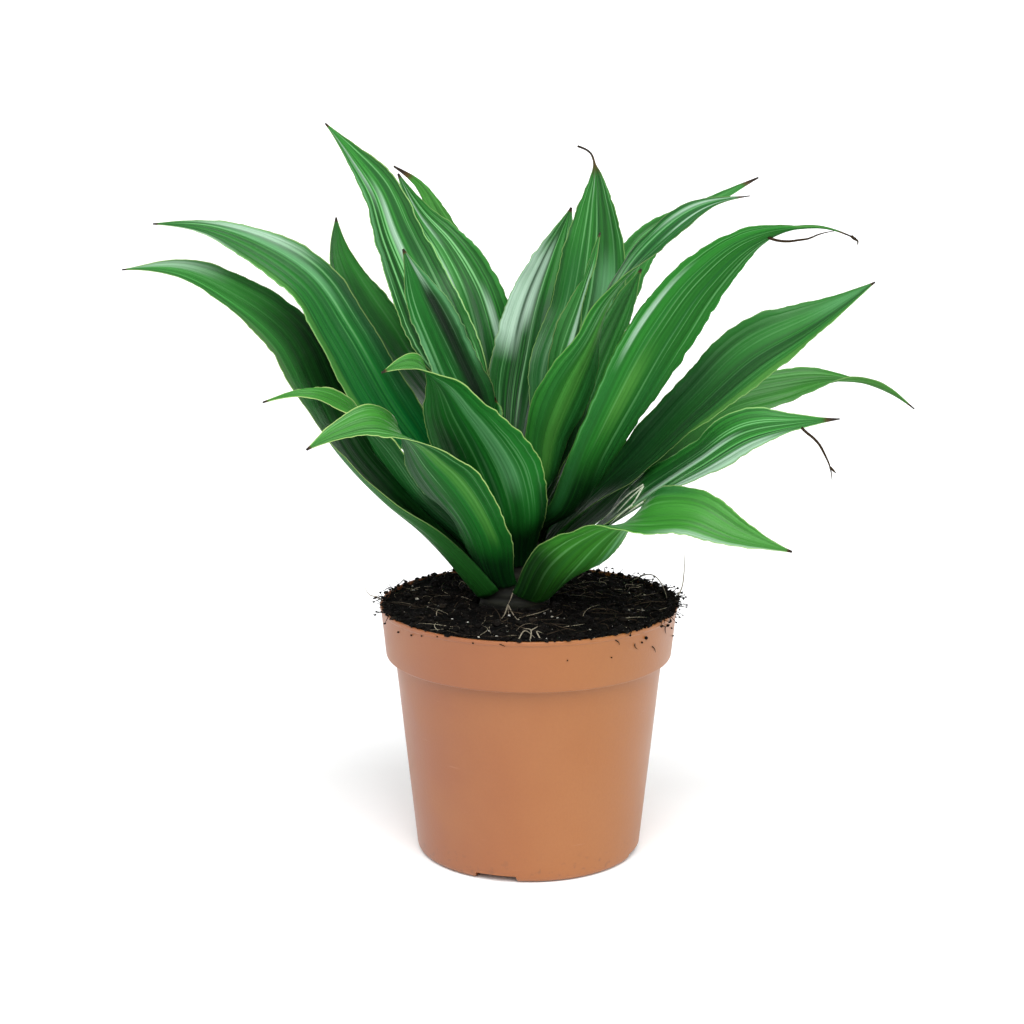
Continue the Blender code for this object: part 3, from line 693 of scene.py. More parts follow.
def leaf_material(leaf, look, face):
    """One face of one leaf: long parallel veins, broad bands, pale streaks that are partly painted
    gloss, painted shade towards the base, the marks' painted highlights and shade, a cream margin and a
    dried tip."""
    upper = face == "upper"
    seed = 3.7 * leaf.azimuth + (0 if upper else 50)
    near = leafy(*(look.base if upper else look.under))
    far = leafy(*(look.tip if upper else look.under))
    specular, coat = (0.2, 0.08) if upper else (0.06, 0.0)
    shader = Shader(f"leaf_{leaf.name}_{face}", 0.4, specular, coat)
    blade = shader.blade()
    across = shader.part(blade, "X")
    along = shader.part(blade, "Y")
    fine = shader.streaks(blade, (leaf.width / FINE_VEIN, 2, 1), (seed, 0, 0))
    ribs = shader.streaks(blade, (leaf.width / BROAD_VEIN, 0.9, 1), (0, seed, 0))
    bands = shader.streaks(blade, (leaf.width / BAND, 0.7, 1), (0, 0, seed), 1.0)
    # Painted shade: the blade darkens towards its base, where the leaves crowd round the stem.
    shade = scaled(near, 0.3)
    body = shader.ramp(
        along,
        [(0.0, shade), (0.1, scaled(near, 0.5)), (0.3, near), (0.8, far), (1.0, scaled(far, 1.1))],
    )
    veined = shader.laid(
        body,
        (bands, 0.6, 0.36, 0.55, scaled(near, 0.4)),
        (ribs, 0.5, 0.36, 0.17 + 0.5 * look.streaks, scaled(near, 0.35)),
        (fine, 0.46, 0.66, 0.1 + 0.3 * look.streaks, scaled(far, 1.5)),
    )
    # Pale streaks along the ribs: partly the blade's own paler stripes, partly painted gloss.
    pale = (far[0] * 1.4 + 0.13, far[1] * 1.3 + 0.21, far[2] * 1.4 + 0.13, 1.0)
    begin = shader.span(along, look.start - 0.15, look.start + 0.1)
    finish = shader.span(along, look.end + 0.1, look.end - 0.1)
    streak = shader.times(shader.span(ribs, 0.56, 0.62, look.streaks), begin)
    color = shader.mix(shader.times(streak, finish), veined, pale)
    breaks = shader.span(ribs, 0.3, 0.55, 1.0, 0.55)
    # Painted highlights, sheen and shade, laid over the blade mark by mark.
    for mark in PAINTED_LIGHT_MARKS.get(f"{leaf.name} {face}", ()):
        color = marked(shader, color, along, across, breaks, mark)
    margin = shader.plus(shader.attribute("edge"), shader.times(fine, 0.35))
    opened = shader.span(along, 0.05, 0.25, look.cream)
    rim = shader.times(shader.span(margin, 0.66, 0.36), opened)
    edged = shader.mix(rim, color, CREAM)
    left = shader.math("SUBTRACT", shader.attribute("tip"), shader.times(ribs, look.dry))
    color = shader.laid(
        edged,
        (left, 0.75 * look.dry, 0.3 * look.dry, 1.0, DRIED),
        (left, 0.35 * look.dry, 0.0, 1.0, DRIED_DARK),
    )
    height = shader.plus(shader.times(ribs, 0.7), shader.times(fine, 0.22))
    rough = (0.46, 0.3) if upper else (0.55, 0.4)
    return shader.dress(color, shader.span(fine, 0.3, 0.7, *rough), height, 0.0007)


def pot_material():
    shader = Shader("pot_plastic", 0.42, 0.45, 0.12, 0.35)
    place = shader.place()
    # Painted light: the pot goes from painted shade on its left to painted light on its right.
    wide = shader.span(shader.part(place, "X"), -0.05, 0.045)
    body = shader.mix(wide, POT_PAINTED_SHADE_SIDE, POT_PAINTED_LIGHT_SIDE)
    cloud = shader.noise(place, 26.0)
    grain = shader.noise(place, 900.0)
    scratch = shader.streaks(place, (55, 55, 700), detail=3.0)
    scuffed = shader.laid(
        body,
        (cloud, 0.35, 0.7, 0.3, POT_CLOUD),
        (grain, 0.3, 0.7, 0.12, POT_GRAIN),
        (scratch, 0.7, 0.78, 0.25, POT_SCUFF),
    )
    # Darker in patches towards the bottom.
    low_noise = shader.noise(place, 340.0, 3.0)
    low = shader.span(shader.part(place, "Z"), 0.016, 0.002)
    low_patches = shader.times(shader.span(low_noise, 0.56, 0.7, 0.4), low)
    color = shader.mix(low_patches, scuffed, POT_LOW_PATCH)
    height = shader.plus(shader.times(grain, 0.35), shader.times(cloud, 0.9))
    return shader.dress(color, shader.span(cloud, 0.3, 0.7, 0.48, 0.36), height, 0.00012)


def soil_material():
    shader = Shader("soil_peat", 0.95, 0.08)
    place = shader.place()
    clumps = shader.noise(place, 230.0, 4.0, 0.6)
    peat = shader.ramp(clumps, SOIL_TONES)
    flecks = shader.noise(place, 900.0)
    color = shader.laid(peat, (flecks, 0.68, 0.76, 0.7, SOIL_FLECK))
    return shader.dress(color, None, shader.plus(clumps, shader.times(flecks, 0.4)), 0.0012)


def grain_material(name, stops, roughness=0.9):
    """Loose bits whose colour goes by a number that each bit carries."""
    shader = Shader(name, roughness, 0.1)
    tone = shader.ramp(shader.attribute("grain"), stops)
    speckle = shader.noise(shader.place(), 1300.0)
    color = shader.laid(tone, (speckle, 0.35, 0.7, 0.45, SPECKLE))
    return shader.dress(color, None, speckle, 0.0002)


def bark_material():
    shader = Shader("stem_bark", 0.75, 0.3)
    rings = shader.streaks(shader.place(), (60, 60, 420), detail=3.0)
    # Near-black bark: its own dark colour with painted shade among the leaf bases.
    return shader.dress(shader.ramp(rings, BARK_AND_PAINTED_SHADE_TONES), None, rings, 0.0008)


def mesh_object(name, points, faces, materials, smooth=True):
    mesh = bpy.data.meshes.new(name)
    mesh.from_pydata([tuple(p) for p in points], [], faces)
    for material in materials:
        mesh.materials.append(material)
    if smooth:
        mesh.shade_smooth()
    obj = bpy.data.objects.new(name, mesh)
    bpy.context.scene.collection.objects.link(obj)
    return obj


def outward(obj):
    """The same closed mesh with every face turned to the outside."""
    work = bmesh.new()
    work.from_mesh(obj.data)
    bmesh.ops.recalc_face_normals(work, faces=work.faces)
    work.to_mesh(obj.data)
    work.free()
    return obj


def point_number(mesh, name, values):
    attribute = mesh.attributes.new(name, "FLOAT", "POINT")
    attribute.data.foreach_set("value", np.asarray(values, np.float32))


def finished(obj, slot, *nodes):
    """The piece rides on the one body and stands for these nodes. Its slot is not used."""
    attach(obj, "root")
    if nodes:
        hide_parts(*nodes)
    return obj


def polar(radius, angle):
    return radius * cos(angle), radius * sin(angle)


def axes(angle):
    """Level unit vectors along an angle and to the left of it."""
    return np.array([cos(angle), sin(angle), 0]), np.array([-sin(angle), cos(angle), 0])


def unit(vectors):
    """The same vectors, each of them one long."""
    return vectors / np.maximum(np.linalg.norm(vectors, axis=-1, keepdims=True), 1e-12)


def smooth(share):
    share = np.clip(share, 0, 1)
    return share * share * (3 - 2 * share)


def stem_radius(height):
    share = (height - STEM_LOW) / (STEM_TOP - STEM_LOW)
    return STEM_LOW_RADIUS + (STEM_TOP_RADIUS - STEM_LOW_RADIUS) * min(max(share, 0), 1)


def base_radius(leaf):
    return stem_radius(leaf.height * MM) + BASE_CLEARANCE + BLADE_THICKNESS / 2


def curve_through(rows, first_slope, count):
    """"count" rows along a smooth curve through the given rows, spaced evenly by length. The first
    three columns are a place, and what follows, such as the roll, is carried along with it."""
    chords = np.linalg.norm(np.diff(rows[:, :3], axis=0), axis=1)
    knots = np.concatenate([[0], np.cumsum(chords)])
    slopes = np.zeros_like(rows)
    slopes[0, :3] = first_slope
    for i in range(1, len(rows) - 1):
        before = (rows[i] - rows[i - 1]) / chords[i - 1]
        after = (rows[i + 1] - rows[i]) / chords[i]
        slopes[i] = (chords[i] * before + chords[i - 1] * after) / (chords[i - 1] + chords[i])
    slopes[-1] = 1.5 * (rows[-1] - rows[-2]) / chords[-1] - 0.5 * slopes[-2]
    at = np.linspace(0, knots[-1], count)
    span = np.clip(np.searchsorted(knots, at, side="right") - 1, 0, len(chords) - 1)
    length = chords[span][:, None]
    t = ((at - knots[span]) / chords[span])[:, None]
    return (
        (2 * t**3 - 3 * t**2 + 1) * rows[span]
        + (t**3 - 2 * t**2 + t) * slopes[span] * length
        + (3 * t**2 - 2 * t**3) * rows[span + 1]
        + (t**3 - t**2) * slopes[span + 1] * length
    )


def midrib(leaf, along):
    """Points, side vectors and up vectors down a leaf's midrib."""
    lean = radians(leaf.lean)
    out, across = axes(radians(leaf.azimuth))
    axis = np.array([STEM_X, 0, 0])
    start = out * sin(lean) + UP * cos(lean)
    foot = axis + out * base_radius(leaf) + UP * leaf.height * MM
    rows = [np.append(foot, 0)]
    for reach, sway, height, roll in leaf.route:
        point = axis + MM * (out * reach + across * sway + UP * height)
        rows.append(np.append(point, radians(roll)))
    curve = curve_through(np.array(rows), start, along + 1)
    points = curve[:, :3]
    roll = curve[:, 3:]
    forward = unit(np.gradient(points, axis=0))
    forward[0] = start
    side = np.zeros_like(points)
    carried = across
    for i in range(along + 1):
        carried = unit(carried - (carried @ forward[i]) * forward[i])
        side[i] = carried
    up = np.cross(forward, side)
    rolled_side = side * np.cos(roll) + up * np.sin(roll)
    rolled_up = up * np.cos(roll) - side * np.sin(roll)
    return points, rolled_side, rolled_up


def blade_surface(leaf, along, across):
    """The middle surface of a leaf as rows of points, with its half width at each row."""
    points, side, up = midrib(leaf, along)
    t = np.linspace(0, 1, along + 1)
    u = np.linspace(-1, 1, across + 1)[None, :]
    spread = smooth(t / leaf.spread)
    wrap = radians(leaf.wrap)
    base_half = base_radius(leaf) * wrap
    full_half = leaf.width * MM / 2
    green = np.minimum(t / (1 - leaf.tail), 1)
    taper = (1 - green**leaf.full) ** TAPER_POWER
    half = (base_half + (full_half - base_half) * spread) * taper + TIP_HALF_WIDTH
    half[0] = base_half
    half = half[:, None]
    bend = (wrap + (radians(leaf.channel) - wrap) * spread)[:, None]
    sideways = half * np.sin(bend * u) / bend
    lift = half * (1 - np.cos(bend * u)) / bend
    strength = (smooth(t / WAVE_START) * smooth((1 - t) / WAVE_FADE))[:, None]
    phase = np.where(u < 0, 0, WAVE_STEP) + WAVE_STEP_PER_DEGREE * leaf.azimuth
    ripple = np.sin(tau * WAVES * t[:, None] + phase)
    lift = lift + WAVE_HEIGHT * strength * np.abs(u) ** WAVE_POWER * ripple
    flutter = np.sin(tau * FLUTTER_RATE * WAVES * t[:, None] + FLUTTER_STEP * phase)
    margin = np.abs(u) ** FLUTTER_POWER
    lift = lift + FLUTTER_SHARE * WAVE_HEIGHT * strength * margin * flutter
    turns = tau * full_half / RIB_SPACING
    ribs = np.cos(turns * u + leaf.azimuth)
    ribs = ribs + SECOND_RIB_SHARE * np.cos(SECOND_RIB_RATE * turns * u)
    groove = GROOVE_DEPTH * np.exp(-((u / GROOVE_WIDTH) ** 2))
    lift = lift + strength * (RIB_HEIGHT * ribs - groove)
    nibbles = np.array([
        [
            noise.fractal(Vector((share * NIBBLES, leaf.azimuth, edge * 7)), 0.8, 2.0, 4)
            for edge in (0, 1)
        ]
        for share in t
    ])
    nibbled = np.where(u < 0, -nibbles[:, :1], nibbles[:, 1:]) * np.abs(u) ** NIBBLE_POWER
    sideways = sideways + EDGE_NIBBLE * strength * nibbled
    surface = (
        points[:, None, :]
        + side[:, None, :] * sideways[..., None]
        + up[:, None, :] * lift[..., None]
    )
    return surface, half[:, 0]


def make_leaf(leaf):
    """A closed blade: an upper and an under face, thick along the middle and thin at the margins."""
    surface, half = blade_surface(leaf, ALONG, ACROSS)
    normal = unit(np.cross(np.gradient(surface, axis=0), np.gradient(surface, axis=1)))
    u = np.linspace(-1, 1, ACROSS + 1)[None, :]
    t = np.linspace(0, 1, ALONG + 1)[:, None]
    thick = BLADE_THICKNESS * (1 - (1 - EDGE_SHARE) * np.abs(u) ** 3) * (1 - TIP_THINNING * t**4)
    offset = normal * (thick / 2)[..., None]
    points = np.concatenate([(surface + offset).reshape(-1, 3), (surface - offset).reshape(-1, 3)])
    wide = ACROSS + 1
    under = (ALONG + 1) * wide
    last = ALONG * wide
    faces = []
    slots = []
    for row in range(0, last, wide):
        for a in range(row, row + ACROSS):
            b = a + wide
            faces.append((a, b, b + 1, a + 1))
            faces.append((under + a, under + a + 1, under + b + 1, under + b))
            slots += [0, 1]
        a = row + ACROSS
        faces.append((row, under + row, under + row + wide, row + wide))
        faces.append((a, a + wide, under + a + wide, under + a))
        slots += [0, 0]
    for j in range(ACROSS):
        faces.append((j, j + 1, under + j + 1, under + j))
        faces.append((last + j, under + last + j, under + last + j + 1, last + j + 1))
        slots += [1, 0]
    look = LOOKS.get(leaf.name, PLAIN_LOOK)
    materials = [leaf_material(leaf, look, "upper"), leaf_material(leaf, look, "under")]
    obj = mesh_object("blade_" + leaf.name, points, faces, materials)
    mesh = obj.data
    mesh.polygons.foreach_set("material_index", slots)
    across = np.broadcast_to((u + 1) / 2, (ALONG + 1, wide)).ravel()
    down = np.broadcast_to(t, (ALONG + 1, wide)).ravel()
    places = np.tile(np.stack([across, down], axis=1), (2, 1))
    corners = np.zeros(len(mesh.loops), np.int32)
    mesh.loops.foreach_get("vertex_index", corners)
    layer = mesh.uv_layers.new(name="blade")
    layer.data.foreach_set("uv", places[corners].ravel().astype(np.float32))
    edge = (1 - np.abs(u)) * half[:, None] / MM
    length = np.linalg.norm(np.diff(surface[:, ACROSS // 2], axis=0), axis=1).sum()
    left = np.broadcast_to((1 - t) * length / MM, (ALONG + 1, wide))
    point_number(mesh, "edge", np.tile(edge.ravel(), 2))
    point_number(mesh, "tip", np.tile(left.ravel(), 2))
    return finished(obj, "leaf", "leaf_" + leaf.name)


def ring_faces(first, sides, steps):
    """Four-sided faces from each ring of points to the next, so many steps."""
    faces = []
    for ring in range(first, first + steps * sides, sides):
        for k in range(sides):
            a = ring + k
            b = ring + (k + 1) % sides
            faces.append((a, b, b + sides, a + sides))
    return faces


def turned(profile, sides, wobble=None, center=None):
    """Points and faces of a solid turned about +Z from (radius, height) pairs, whose first and last
    pair lie on the axis. "wobble" gives an extra (radius, height) for (step, angle, radius,
    height), and "center" the axis's x at each step."""
    points = []
    for step, (radius, height) in enumerate(profile):
        shift = center[step] if center else 0
        if step in (0, len(profile) - 1):
            points.append((shift, 0, height))
            continue
        for k in range(sides):
            angle = tau * k / sides
            more = wobble(step, angle, radius, height) if wobble else (0, 0)
            x, y = polar(radius + more[0], angle)
            points.append((shift + x, y, height + more[1]))
    faces = ring_faces(1, sides, len(profile) - 3)
    end = len(points) - 1
    for k in range(sides):
        after = (k + 1) % sides
        faces.append((0, 1 + after, 1 + k))
        faces.append((end, end - sides + k, end - sides + after))
    return points, faces


def rounded(corners, steps=5):
    """(radius, height, rounding) corners as a line of points with each corner rounded off."""
    line = []
    for i, (r, z, size) in enumerate(corners):
        here = np.array([r, z])
        if size <= 0 or i in (0, len(corners) - 1):
            line.append((r, z))
            continue
        ends = []
        for neighbour in (corners[i - 1], corners[i + 1]):
            way = np.array(neighbour[:2]) - here
            ends.append(here + unit(way) * min(size, 0.48 * np.linalg.norm(way)))
        for k in range(steps + 1):
            s = k / steps
            point = (1 - s) ** 2 * ends[0] + 2 * s * (1 - s) * here + s**2 * ends[1]
            line.append(tuple(point.tolist()))
    return line


def divided(line, longest):
    """The same line with points added so that no stretch is longer than "longest"."""
    out = [line[0]]
    for (r0, z0), (r1, z1) in zip(line, line[1:]):
        pieces = max(1, ceil(hypot(r1 - r0, z1 - z0) / longest))
        for k in range(1, pieces + 1):
            out.append((r0 + (r1 - r0) * k / pieces, z0 + (z1 - z0) * k / pieces))
    return out


def make_pot():
    """The shell from its corners, as (radius, height, rounding), less the notches and drains."""
    corners = [
        (0, FLOOR_TOP, 0),
        (BASE_RADIUS - POT_WALL, FLOOR_TOP, 0.003),
        (BODY_TOP_RADIUS - POT_WALL, SHOULDER - COLLAR_STEP, 0.001),
        (COLLAR_LOW_RADIUS - POT_WALL, SHOULDER + POT_WALL, 0.001),
        (RIM_RADIUS - POT_WALL, POT_HEIGHT, 0.0006),
        (RIM_RADIUS, POT_HEIGHT, 0.0006),
        (RIM_RADIUS, POT_HEIGHT - LIP_HEIGHT, 0.0004),
        (RIM_RADIUS - LIP_STEP, POT_HEIGHT - LIP_HEIGHT - LIP_STEP, 0.0003),
        (COLLAR_LOW_RADIUS, SHOULDER, 0.0009),
        (BODY_TOP_RADIUS + 0.0008, SHOULDER - 0.0006, 0.0008),
        (BODY_TOP_RADIUS, SHOULDER - COLLAR_STEP - 0.0016, 0.002),
        (BASE_RADIUS, 0, FOOT_ROUND),
        (BASE_RADIUS - FOOT_RING_WIDTH, 0, 0.0005),
        (BASE_RADIUS - FOOT_RING_WIDTH, FLOOR_UNDERSIDE, 0.0005),
        (0, FLOOR_UNDERSIDE, 0),
    ]
    points, faces = turned(divided(rounded(corners), POT_STEP), POT_SIDES)
    pot = outward(mesh_object("pot_shell", points, faces, [pot_material()]))
    cutters = []
    for index in range(NOTCH_COUNT):
        out, side = axes(radians(NOTCH_FIRST_ANGLE) + index * tau / NOTCH_COUNT)
        block = []
        for reach in (BASE_RADIUS - NOTCH_INWARD, BASE_RADIUS + NOTCH_OUTWARD):
            for height, width in ((-NOTCH_HEIGHT, NOTCH_LOW_WIDTH), (NOTCH_HEIGHT, NOTCH_TOP_WIDTH)):
                for sign in (-0.5, 0.5):
                    block.append(out * reach + side * sign * width + UP * height)
        sides = [(0, 1, 3, 2), (4, 6, 7, 5), (0, 4, 5, 1), (2, 3, 7, 6), (0, 2, 6, 4), (1, 5, 7, 3)]
        cutters.append(mesh_object(f"notch_block_{index}", block, sides, [], False))
    for index in range(DRAIN_COUNT):
        line = [(0, 2 * FLOOR_TOP), (DRAIN_RADIUS, 2 * FLOOR_TOP), (DRAIN_RADIUS, 0), (0, 0)]
        drill, walls = turned(line, DRAIN_SIDES)
        moved = np.array(drill) + [*polar(DRAIN_CIRCLE, index * tau / DRAIN_COUNT), 0]
        cutters.append(mesh_object(f"drain_drill_{index}", moved, walls, [], False))
    for cutter in cutters:
        outward(cutter)
        boolean = pot.modifiers.new("cut", "BOOLEAN")
        boolean.operation = "DIFFERENCE"
        boolean.solver = "EXACT"
        boolean.object = cutter
    shaped = bpy.data.meshes.new_from_object(
        pot.evaluated_get(bpy.context.evaluated_depsgraph_get())
    )
    pot.modifiers.clear()
    pot.data = shaped
    for cutter in cutters:
        bpy.data.objects.remove(cutter)
    shaped.shade_smooth()
    shaped.set_sharp_from_angle(angle=radians(SHARP_EDGE))
    return finished(pot, "pot", "pot")


def rough_ground(x, y):
    """The peat's bumps at a place, in metres."""
    coarse = noise.fractal(Vector((x * SWELL_RATE, y * SWELL_RATE, 1.7)), 0.9, 2.0, 3)
    lumps = noise.turbulence(Vector((x * LUMP_RATE, y * LUMP_RATE, 4.2)), 3, True)
    fine = noise.noise(Vector((x * GRAIN_RATE, y * GRAIN_RATE, 9.1)))
    return SWELL_HEIGHT * coarse + LUMP_HEIGHT * (lumps - 0.45) + GRAIN_HEIGHT * fine


def ground(x, y):
    """The height of the soil's surface at a place."""
    share = min(hypot(x, y) / RIM_RADIUS, 1)
    calm = 1 - CALM_SHARE * max(0, (share - CALM_FROM) / (1 - CALM_FROM))
    return SOIL_TOP - (SOIL_TOP - SOIL_EDGE) * share**3 + calm * rough_ground(x, y)


def make_soil():
    """The plug of soil: the stem's hole, the bumpy top from there to the rim, then the pot's inside."""
    hole = STEM_LOW_RADIUS + TOUCH_GAP
    lining = POT_WALL + TOUCH_GAP
    edge = COLLAR_LOW_RADIUS + (RIM_RADIUS - COLLAR_LOW_RADIUS) * SOIL_EDGE_SHARE - lining
    profile = [(0, STEM_FOOT - TOUCH_GAP), (hole, STEM_FOOT - TOUCH_GAP)]
    center = [STEM_X, STEM_X]
    first = len(profile)
    last = first + SOIL_RINGS
    for ring in range(SOIL_RINGS + 1):
        share = ring / SOIL_RINGS
        profile.append((hole + (edge - hole) * share, SOIL_TOP))
        center.append(STEM_X * (1 - share))
    for radius, height in (
        (COLLAR_LOW_RADIUS - lining, SHOULDER + lining),
        (BODY_TOP_RADIUS - lining, SHOULDER - COLLAR_STEP),
        (BASE_RADIUS - lining, FLOOR_TOP + SOIL_CORNER),
        (BASE_RADIUS - POT_WALL - SOIL_CORNER, FLOOR_TOP + TOUCH_GAP),
        (0, FLOOR_TOP + TOUCH_GAP),
    ):
        profile.append((radius, height))
        center.append(0)

    def bumps(step, angle, radius, height):
        if not first <= step <= last:
            return (0, 0)
        x, y = polar(radius, angle)
        return (0, ground(center[step] + x, y) - height)

    points, faces = turned(profile, SOIL_SECTORS, bumps, center)
    faces = [face[::-1] for face in faces]
    bed = mesh_object("soil_bed", points, faces, [soil_material()])
    bed.data.set_sharp_from_angle(angle=radians(SOIL_CREASE))
    return finished(bed, "soil", "soil")


def make_stem():
    corners = [
        (0, STEM_FOOT),
        (0.7 * STEM_LOW_RADIUS, STEM_FOOT),
        (STEM_LOW_RADIUS, STEM_FOOT + 0.3 * STEM_LOW_RADIUS),
        (STEM_LOW_RADIUS, STEM_LOW),
        (STEM_TOP_RADIUS, STEM_TOP),
        (0, STEM_TOP),
    ]
    profile = divided(corners, STEM_STEP)[::-1]

    def scars(step, angle, radius, height):
        if height < STEM_LOW:
            return (0, 0)
        ring = abs(sin(height * SCAR_RATE + 0.5 * sin(angle)))
        grain = noise.noise(Vector((cos(angle) * 5, sin(angle) * 5, height * 300)))
        return (-SCAR_DEPTH * (1 - ring) - BARK_DEPTH * (1 + grain), 0)

    points, faces = turned(profile, STEM_SIDES, scars, [STEM_X] * len(profile))
    stem = mesh_object("stem_bark", points, faces, [bark_material()])
    return finished(stem, "stem", "stem")


class Bits:
    """Many small lumps and fibres gathered into one mesh."""

    def __init__(self, seed):
        self.dice = random.Random(seed)
        self.points = []
        self.faces = []
        self.grain = []

    def lump(self, place, size, tone, flat=0.7):
        dice = self.dice
        stretch = np.array([size * dice.uniform(0.7, 1.5), size * dice.uniform(0.6, 1.1), size * flat])
        spin = np.stack([*axes(dice.uniform(0, tau)), UP])
        rough = np.array([dice.uniform(0.72, 1.25) for _ in ICO_POINTS])[:, None]
        self.gather((ICO_POINTS * rough * stretch) @ spin + place, ICO_FACES, tone)

    def fibre(self, line, radius, tone, sides=4):
        """A thin round strand along a line of points, thinning towards its far end."""
        line = np.array(line, float)
        ahead = unit(np.gradient(line, axis=0))
        side = unit(np.cross(ahead, [0.13, 0.21, 0.97]))
        other = np.cross(ahead, side)
        count = len(line)
        thick = radius * (1 - 0.75 * np.linspace(0, 1, count) ** 2)
        made = []
        for k in range(sides):
            angle = tau * k / sides
            made.append(line + (side * cos(angle) + other * sin(angle)) * thick[:, None])
        faces = ring_faces(0, sides, count - 1)
        faces.append(tuple(range(sides))[::-1])
        faces.append(tuple(range((count - 1) * sides, count * sides)))
        self.gather(np.stack(made, axis=1).reshape(-1, 3), faces, tone)

    def gather(self, points, faces, tone):
        first = len(self.grain)
        self.points.append(points)
        self.faces += [tuple(first + k for k in face) for face in faces]
        self.grain += [tone] * len(points)

    def piece(self, name, material, slot, smooth=False):
        obj = mesh_object(name, np.concatenate(self.points), self.faces, [material], smooth)
        point_number(obj.data, "grain", self.grain)
        return finished(obj, slot)


def from_stem(x, y):
    """How far a place on the soil is from the stem's bark."""
    return hypot(x - STEM_X, y) - STEM_LOW_RADIUS


def scattered(dice, outer):
    """A random place on the soil, evenly spread and clear of the stem."""
    while True:
        x, y = polar(outer * sqrt(dice.random()), dice.uniform(0, tau))
        if from_stem(x, y) > STEM_CLEARANCE:
            return x, y


def make_crumbs():
    bits = Bits(11)
    dice = bits.dice
    for _ in range(CRUMBS):
        x, y = scattered(dice, CRUMB_REACH)
        size = CRUMB_LEAST + CRUMB_RANGE * dice.random() ** 2.4
        bits.lump((x, y, ground(x, y) + 0.3 * size), size, dice.random() ** 1.6)
    for _ in range(RIM_CRUMBS):
        angle = dice.uniform(0, tau) if dice.random() < 0.6 else dice.gauss(-0.1, 0.45)
        x, y = polar(dice.uniform(*RIM_BAND), angle)
        size = dice.uniform(*RIM_CRUMB_SIZES)
        height = max(ground(x, y), POT_HEIGHT)
        bits.lump((x, y, height + 0.4 * size), size, dice.random() ** 1.4)
    return bits.piece("soil_crumbs", grain_material("peat_crumbs", PEAT_TONES), "soil")


def bowed(start, heading, length, rise, bow):
    """Points of a strand that lies along a heading, rises by "rise" and bows sideways."""
    ahead, side = axes(heading)
    s = np.linspace(0, 1, STRAND_POINTS)[:, None]
    arch = 4 * s * (1 - s)
    level = ahead * length * s + side * bow * arch
    return start + level + UP * (rise * s + 0.25 * abs(bow) * arch)


def make_fibres():
    bits = Bits(23)
    dice = bits.dice
    for _ in range(FIBRES):
        x, y = scattered(dice, FIBRE_REACH)
        length = dice.uniform(*FIBRE_LENGTHS)
        heading = dice.uniform(0, tau)
        over, beside = polar(length, heading)
        end = (x + over, y + beside)
        if hypot(*end) > FIBRE_END_REACH or from_stem(*end) < 0:
            heading += pi
        rise = dice.uniform(*FIBRE_RISES)
        bow = dice.uniform(*FIBRE_BOWS)
        start = (x, y, ground(x, y) + 0.0003)
        tone = dice.random() ** 1.1
        bits.fibre(bowed(start, heading, length, rise, bow), dice.uniform(*FIBRE_RADII), tone)
    for _ in range(RIM_FIBRES):
        angle = dice.choice((pi, 0.0, 0.0, 0.9, 4.3)) + dice.gauss(0, 0.3)
        x, y = polar(RIM_FIBRE_REACH, angle)
        length = dice.uniform(*RIM_FIBRE_LENGTHS)
        heading = angle + dice.uniform(-1.1, 1.1)
        start = (x, y, max(ground(x, y), POT_HEIGHT) + 0.0002)
        rise = dice.uniform(*RIM_FIBRE_RISES)
        bow = dice.uniform(*RIM_FIBRE_BOWS)
        radius = dice.uniform(*RIM_FIBRE_RADII)
        bits.fibre(bowed(start, heading, length, rise, bow), radius, dice.uniform(0.0, 0.6))
    for _ in range(SPILLS):
        angle = (pi if dice.random() < SPILLS_LEFT else 0.0) + dice.gauss(0, 0.3)
        foot = polar(SPILL_FOOT, angle)
        bend = polar(SPILL_BEND, angle + dice.uniform(-0.04, 0.04))
        tip = polar(dice.uniform(*SPILL_TIPS), angle + dice.uniform(-0.09, 0.09))
        line = [
            (*foot, ground(*foot) + 0.0003),
            (*bend, POT_HEIGHT + dice.uniform(*SPILL_BEND_HEIGHTS)),
            (*tip, POT_HEIGHT + dice.uniform(*SPILL_TIP_HEIGHTS)),
        ]
        bits.fibre(line, dice.uniform(*SPILL_RADII), dice.uniform(0.0, 0.4))
        bits.lump(line[-1], dice.uniform(*SPILL_CLUMPS), dice.uniform(0.0, 0.5))
    return bits.piece("soil_fibres", grain_material("peat_fibres", FIBRE_TONES), "soil", True)


def make_grit():
    bits = Bits(31)
    dice = bits.dice
    for _ in range(GRIT):
        x, y = scattered(dice, GRIT_REACH)
        size = dice.uniform(*GRIT_SIZES)
        bits.lump((x, y, ground(x, y) + 0.3 * size), size, dice.random())
    return bits.piece("soil_grit", grain_material("pale_grit", GRIT_TONES, 0.8), "soil")


def on_collar(degrees, height, stand=0.0):
    """A place on the collar's outside, so many metres proud of it."""
    share = (height - SHOULDER) / COLLAR_HEIGHT
    radius = COLLAR_LOW_RADIUS + (RIM_RADIUS - COLLAR_LOW_RADIUS) * share + stand
    return (*polar(radius, radians(degrees)), height)


def make_collar_dirt():
    bits = Bits(47)
    for degrees, height, size in COLLAR_CRUMBS:
        bits.lump(on_collar(degrees, height * MM, 0.2 * size * MM), size * MM, 0.2, 0.8)
    s = np.linspace(0, 1, STRAND_POINTS)
    for from_degrees, from_height, to_degrees, to_height, bow in COLLAR_HOOKS:
        degrees = from_degrees + (to_degrees - from_degrees) * s + bow * 4 * s * (1 - s)
        heights = (from_height + (to_height - from_height) * s) * MM
        line = [on_collar(*place, HOOK_STAND) for place in zip(degrees, heights)]
        bits.fibre(line, HOOK_RADIUS, 0.15)
    return bits.piece("collar_dirt", grain_material("collar_dirt", PEAT_TONES), "soil")


def on_soil(lines):
    """Lines of (x, y, height over the soil) as points, all in millimetres."""
    return [[(x, y, ground(x * MM, y * MM) / MM + lift) for x, y, lift in line] for line in lines]


